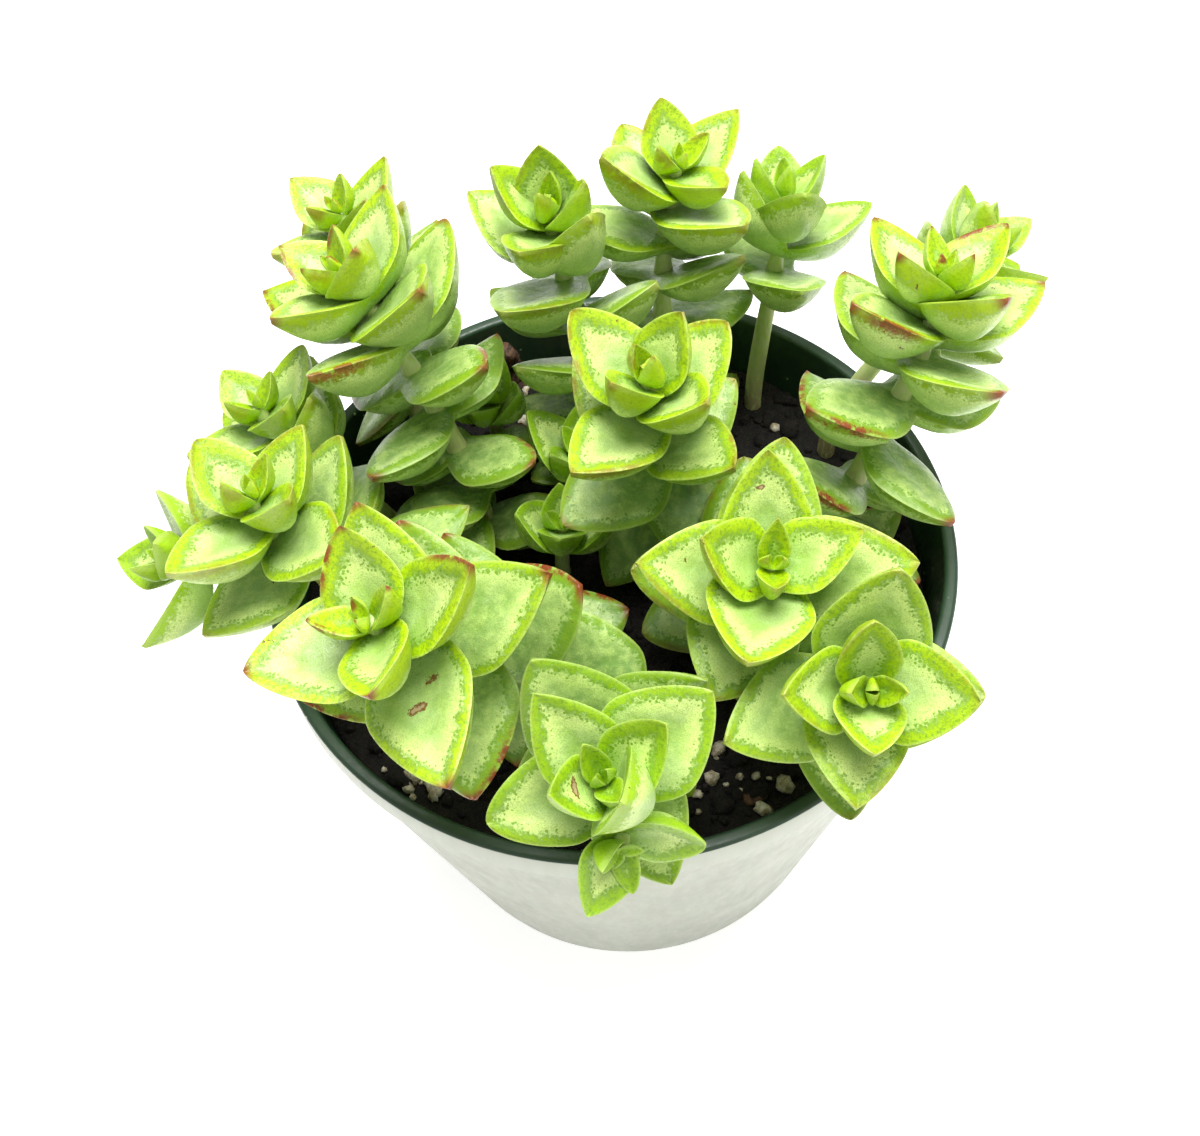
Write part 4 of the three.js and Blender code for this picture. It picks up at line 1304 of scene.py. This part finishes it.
def scatter(chance, count, size_range, stems, reach, heaped):
    """Places on the soil clear of the stems: (x, y, size) rows."""
    spots = []
    tries = 0
    while len(spots) < count and tries < TRIES * count:
        tries += 1
        size = size_range[0] + (size_range[1] - size_range[0]) * chance.random() ** 2
        if chance.random() < heaped:
            x, y, spread = HEAPS[chance.integers(len(HEAPS))]
            x, y = chance.normal((x, y), spread)
        else:
            radius = reach * math.sqrt(chance.random())
            angle = 2 * math.pi * chance.random()
            x, y = radius * math.cos(angle), radius * math.sin(angle)
        clear = all(math.hypot(x - sx, y - sy) > STEM_RADIUS + size for sx, sy in stems)
        if clear and math.hypot(x, y) < reach - size:
            spots.append((x, y, size))
    if len(spots) < count:
        raise RuntimeError(f"The soil has room for {len(spots)} lumps of {count}")
    return spots


def dented(points, place, dents):
    """The points of a ball, pushed in and out by a noise that differs from place to place."""
    grain, depth = dents
    bumps = [noise.noise(Vector(point) * grain + Vector(place)) for point in points]
    return points * (1 + depth * np.array(bumps))[:, None]


def strew(kind, count, material):
    """One piece of many small rough lumps lying on the soil."""
    name, seed, size_range, flatness, proud, heaped = kind
    chance = np.random.default_rng(seed)
    points, faces = ball()
    stems = [stem.root for stem in STEMS if stem.root]
    reach = soil_radius(SOIL_TOP) - STREWN_EDGE
    patchwork = Patchwork()
    for x, y, size in scatter(chance, count, size_range, stems, reach, heaped):
        shape = dented(points, (x, y, size), STREWN_DENTS)
        shape = shape * np.array([1.0, chance.uniform(*STREWN_WIDTH), chance.uniform(*flatness)])
        turn = tumbled(chance) if flatness[0] > LIES_FLAT else nearly_flat(chance)
        place = np.array([x, y, soil_height(x, y) + size * proud])
        patchwork.add(place + size * (shape @ turn.T), faces)
    return patchwork.piece(name, [material])


def clod(name, material):
    """A crumbly clod of bark that stands against the wall, made of many small lumps."""
    chance = np.random.default_rng(CLOD_SEED)
    points, faces = ball()
    patchwork = Patchwork()
    for _ in range(CLOD_LUMPS):
        place = np.array(CLOD_PLACE) + chance.uniform(-1, 1, 3) * np.array(CLOD_REACH)
        size = chance.uniform(*CLOD_SIZES)
        shape = dented(points, place, CLOD_DENTS)
        patchwork.add(place + size * shape @ tumbled(chance).T, faces)
    return patchwork.piece(name, [material])


class PLANT_OT_soil(bpy.types.Operator):
    """Fill the pot with peat and strew crumbs, perlite and bark over it"""

    bl_idname = "plant.soil"
    bl_label = "Potting mix"

    def execute(self, context):
        sizes = context.scene.plant_soil
        peat = peat_material(sizes)
        points, faces = soil_body()
        settle(add_piece("soil_fine", points, faces, [peat]), "soil", "soil")
        bark = chip_material(sizes)
        settle(strew(CRUMBS, sizes.crumbs, peat), "soil")
        settle(strew(PERLITE, sizes.grains, perlite_material(sizes)), "soil")
        settle(strew(CHIPS, sizes.chips, bark), "soil")
        settle(clod("soil_clod", bark), "soil")
        return {"FINISHED"}


# -------- plant

def laid_out():
    """The stems' paths and the leaves, once they have made room for each other."""
    by_name = {}
    for stem in STEMS:
        by_name[stem.name] = stem_path(stem, by_name.get(stem.parent))
    paths = [by_name[stem.name] for stem in STEMS]
    foliage = Foliage(STEMS, paths)
    make_room(foliage, paths)
    return paths, foliage


class PLANT_OT_stems(bpy.types.Operator):
    """Grow every stem with its pairs of leaves"""

    bl_idname = "plant.stems"
    bl_label = "Stems and leaves"

    def execute(self, context):
        sizes = context.scene.plant_leaf
        materials = [leaf_material(sizes), shaft_material(sizes)]
        paths, foliage = laid_out()
        axes = foliage.axes()
        for root_stem in (stem for stem in STEMS if stem.root):
            patchwork = Patchwork(*LEAF_KEYS)
            for index, stem in enumerate(STEMS):
                if root_stem.name not in (stem.name, stem.parent):
                    continue
                fine_shaft(patchwork, stem, paths[index])
                own = np.where(foliage.stem == index)[0]
                if not len(own):
                    raise RuntimeError(f"The stem {stem.name} is too short for leaves")
                for left in own[::2]:
                    fine_pair(patchwork, foliage, axes, left, left + 1, stem.blush)
            piece = patchwork.piece(f"leafy_{root_stem.name}", materials)
            settle(piece, "leaf", f"stem_{root_stem.name}")
        return {"FINISHED"}


# -------- stage

# The eye, from the middle of the pot's rim, in millimetres.
EYE = (-1.9, -127.8, 179.9)
EYE_ELEVATION = 55.7
EYE_ROLL = -5.8
LENS = 42.0
SENSOR = 36.0
# The nearest thing that the camera sees and the floor's width, in metres.
NEAREST = 0.01
FLOOR_SIZE = 3.0
# Each light's place and width, in metres.
KEY_LIGHT = ((0.06, 0.1, 0.7), 0.5)
FILL_LIGHT = ((0.3, -0.5, 0.4), 0.4)


def add_camera(context):
    data = bpy.data.cameras.new("view")
    data.lens = LENS
    data.sensor_width = SENSOR
    data.clip_start = NEAREST
    camera = bpy.data.objects.new("view", data)
    eye = Vector((EYE[0], EYE[1], EYE[2] + POT_HEIGHT)) * MM
    pitch = Matrix.Rotation(math.radians(90 - EYE_ELEVATION), 4, "X")
    roll = Matrix.Rotation(math.radians(EYE_ROLL), 4, "Z")
    camera.matrix_world = Matrix.Translation(eye) @ pitch @ roll
    context.scene.collection.objects.link(camera)
    context.scene.camera = camera


def add_light(context, name, power, place, width):
    """A round soft light that shines at the middle of the pot's rim."""
    data = bpy.data.lights.new(name, "AREA")
    data.shape = "DISK"
    data.size = width
    data.energy = power
    light = bpy.data.objects.new(name, data)
    light.location = place
    way = Vector((0, 0, POT_HEIGHT * MM)) - Vector(place)
    light.rotation_euler = way.to_track_quat("-Z", "Y").to_euler()
    context.scene.collection.objects.link(light)


class PLANT_OT_stage(bpy.types.Operator):
    """Set up the floor, the lights and the camera"""

    bl_idname = "plant.stage"
    bl_label = "Studio"

    def execute(self, context):
        sizes = context.scene.plant_stage
        half = FLOOR_SIZE / 2 / MM
        corners = [(-half, -half, 0), (half, -half, 0), (half, half, 0), (-half, half, 0)]
        floor = add_piece("floor", corners, [(0, 1, 2, 3)], [floor_material(sizes)])
        world = bpy.data.worlds.new("studio")
        world.use_nodes = True
        room = world.node_tree.nodes["Background"]
        room.inputs["Color"].default_value = (1, 1, 1, 1)
        room.inputs["Strength"].default_value = sizes.surround
        context.scene.world = world
        add_light(context, "key", sizes.key, *KEY_LIGHT)
        add_light(context, "fill", sizes.fill, *FILL_LIGHT)
        context.scene.view_settings.view_transform = "Standard"
        add_camera(context)
        return {"FINISHED"}


# -------- add-on

SETTINGS = (
    ("plant_pot", PotSettings, "Pot", "plant.pot"),
    ("plant_soil", SoilSettings, "Potting mix", "plant.soil"),
    ("plant_leaf", LeafSettings, "Stems and leaves", "plant.stems"),
    ("plant_stage", StageSettings, "Studio", "plant.stage"),
)


class PLANT_PT_sidebar(bpy.types.Panel):
    """Lists the pieces of the plant with their sizes and colours"""

    bl_label = "String of Buttons"
    bl_idname = "PLANT_PT_sidebar"
    bl_space_type = "VIEW_3D"
    bl_region_type = "UI"
    bl_category = "Plant"

    def draw(self, context):
        for name, group, title, operator in SETTINGS:
            box = self.layout.box()
            box.operator(operator, text=title)
            for key in group.__annotations__:
                box.prop(getattr(context.scene, name), key)


CLASSES = (
    PotSettings,
    SoilSettings,
    LeafSettings,
    StageSettings,
    PLANT_OT_pot,
    PLANT_OT_soil,
    PLANT_OT_stems,
    PLANT_OT_stage,
    PLANT_PT_sidebar,
)


def register():
    for cls in CLASSES:
        bpy.utils.register_class(cls)
    for name, group, _, _ in SETTINGS:
        setattr(bpy.types.Scene, name, PointerProperty(type=group))


def unregister():
    for name, _, _, _ in SETTINGS:
        delattr(bpy.types.Scene, name)
    for cls in reversed(CLASSES):
        bpy.utils.unregister_class(cls)


def main():
    register()
    bpy.ops.plant.stage()
    bpy.ops.plant.pot()
    bpy.ops.plant.soil()
    bpy.ops.plant.stems()


if __name__ == "__main__":
    main()
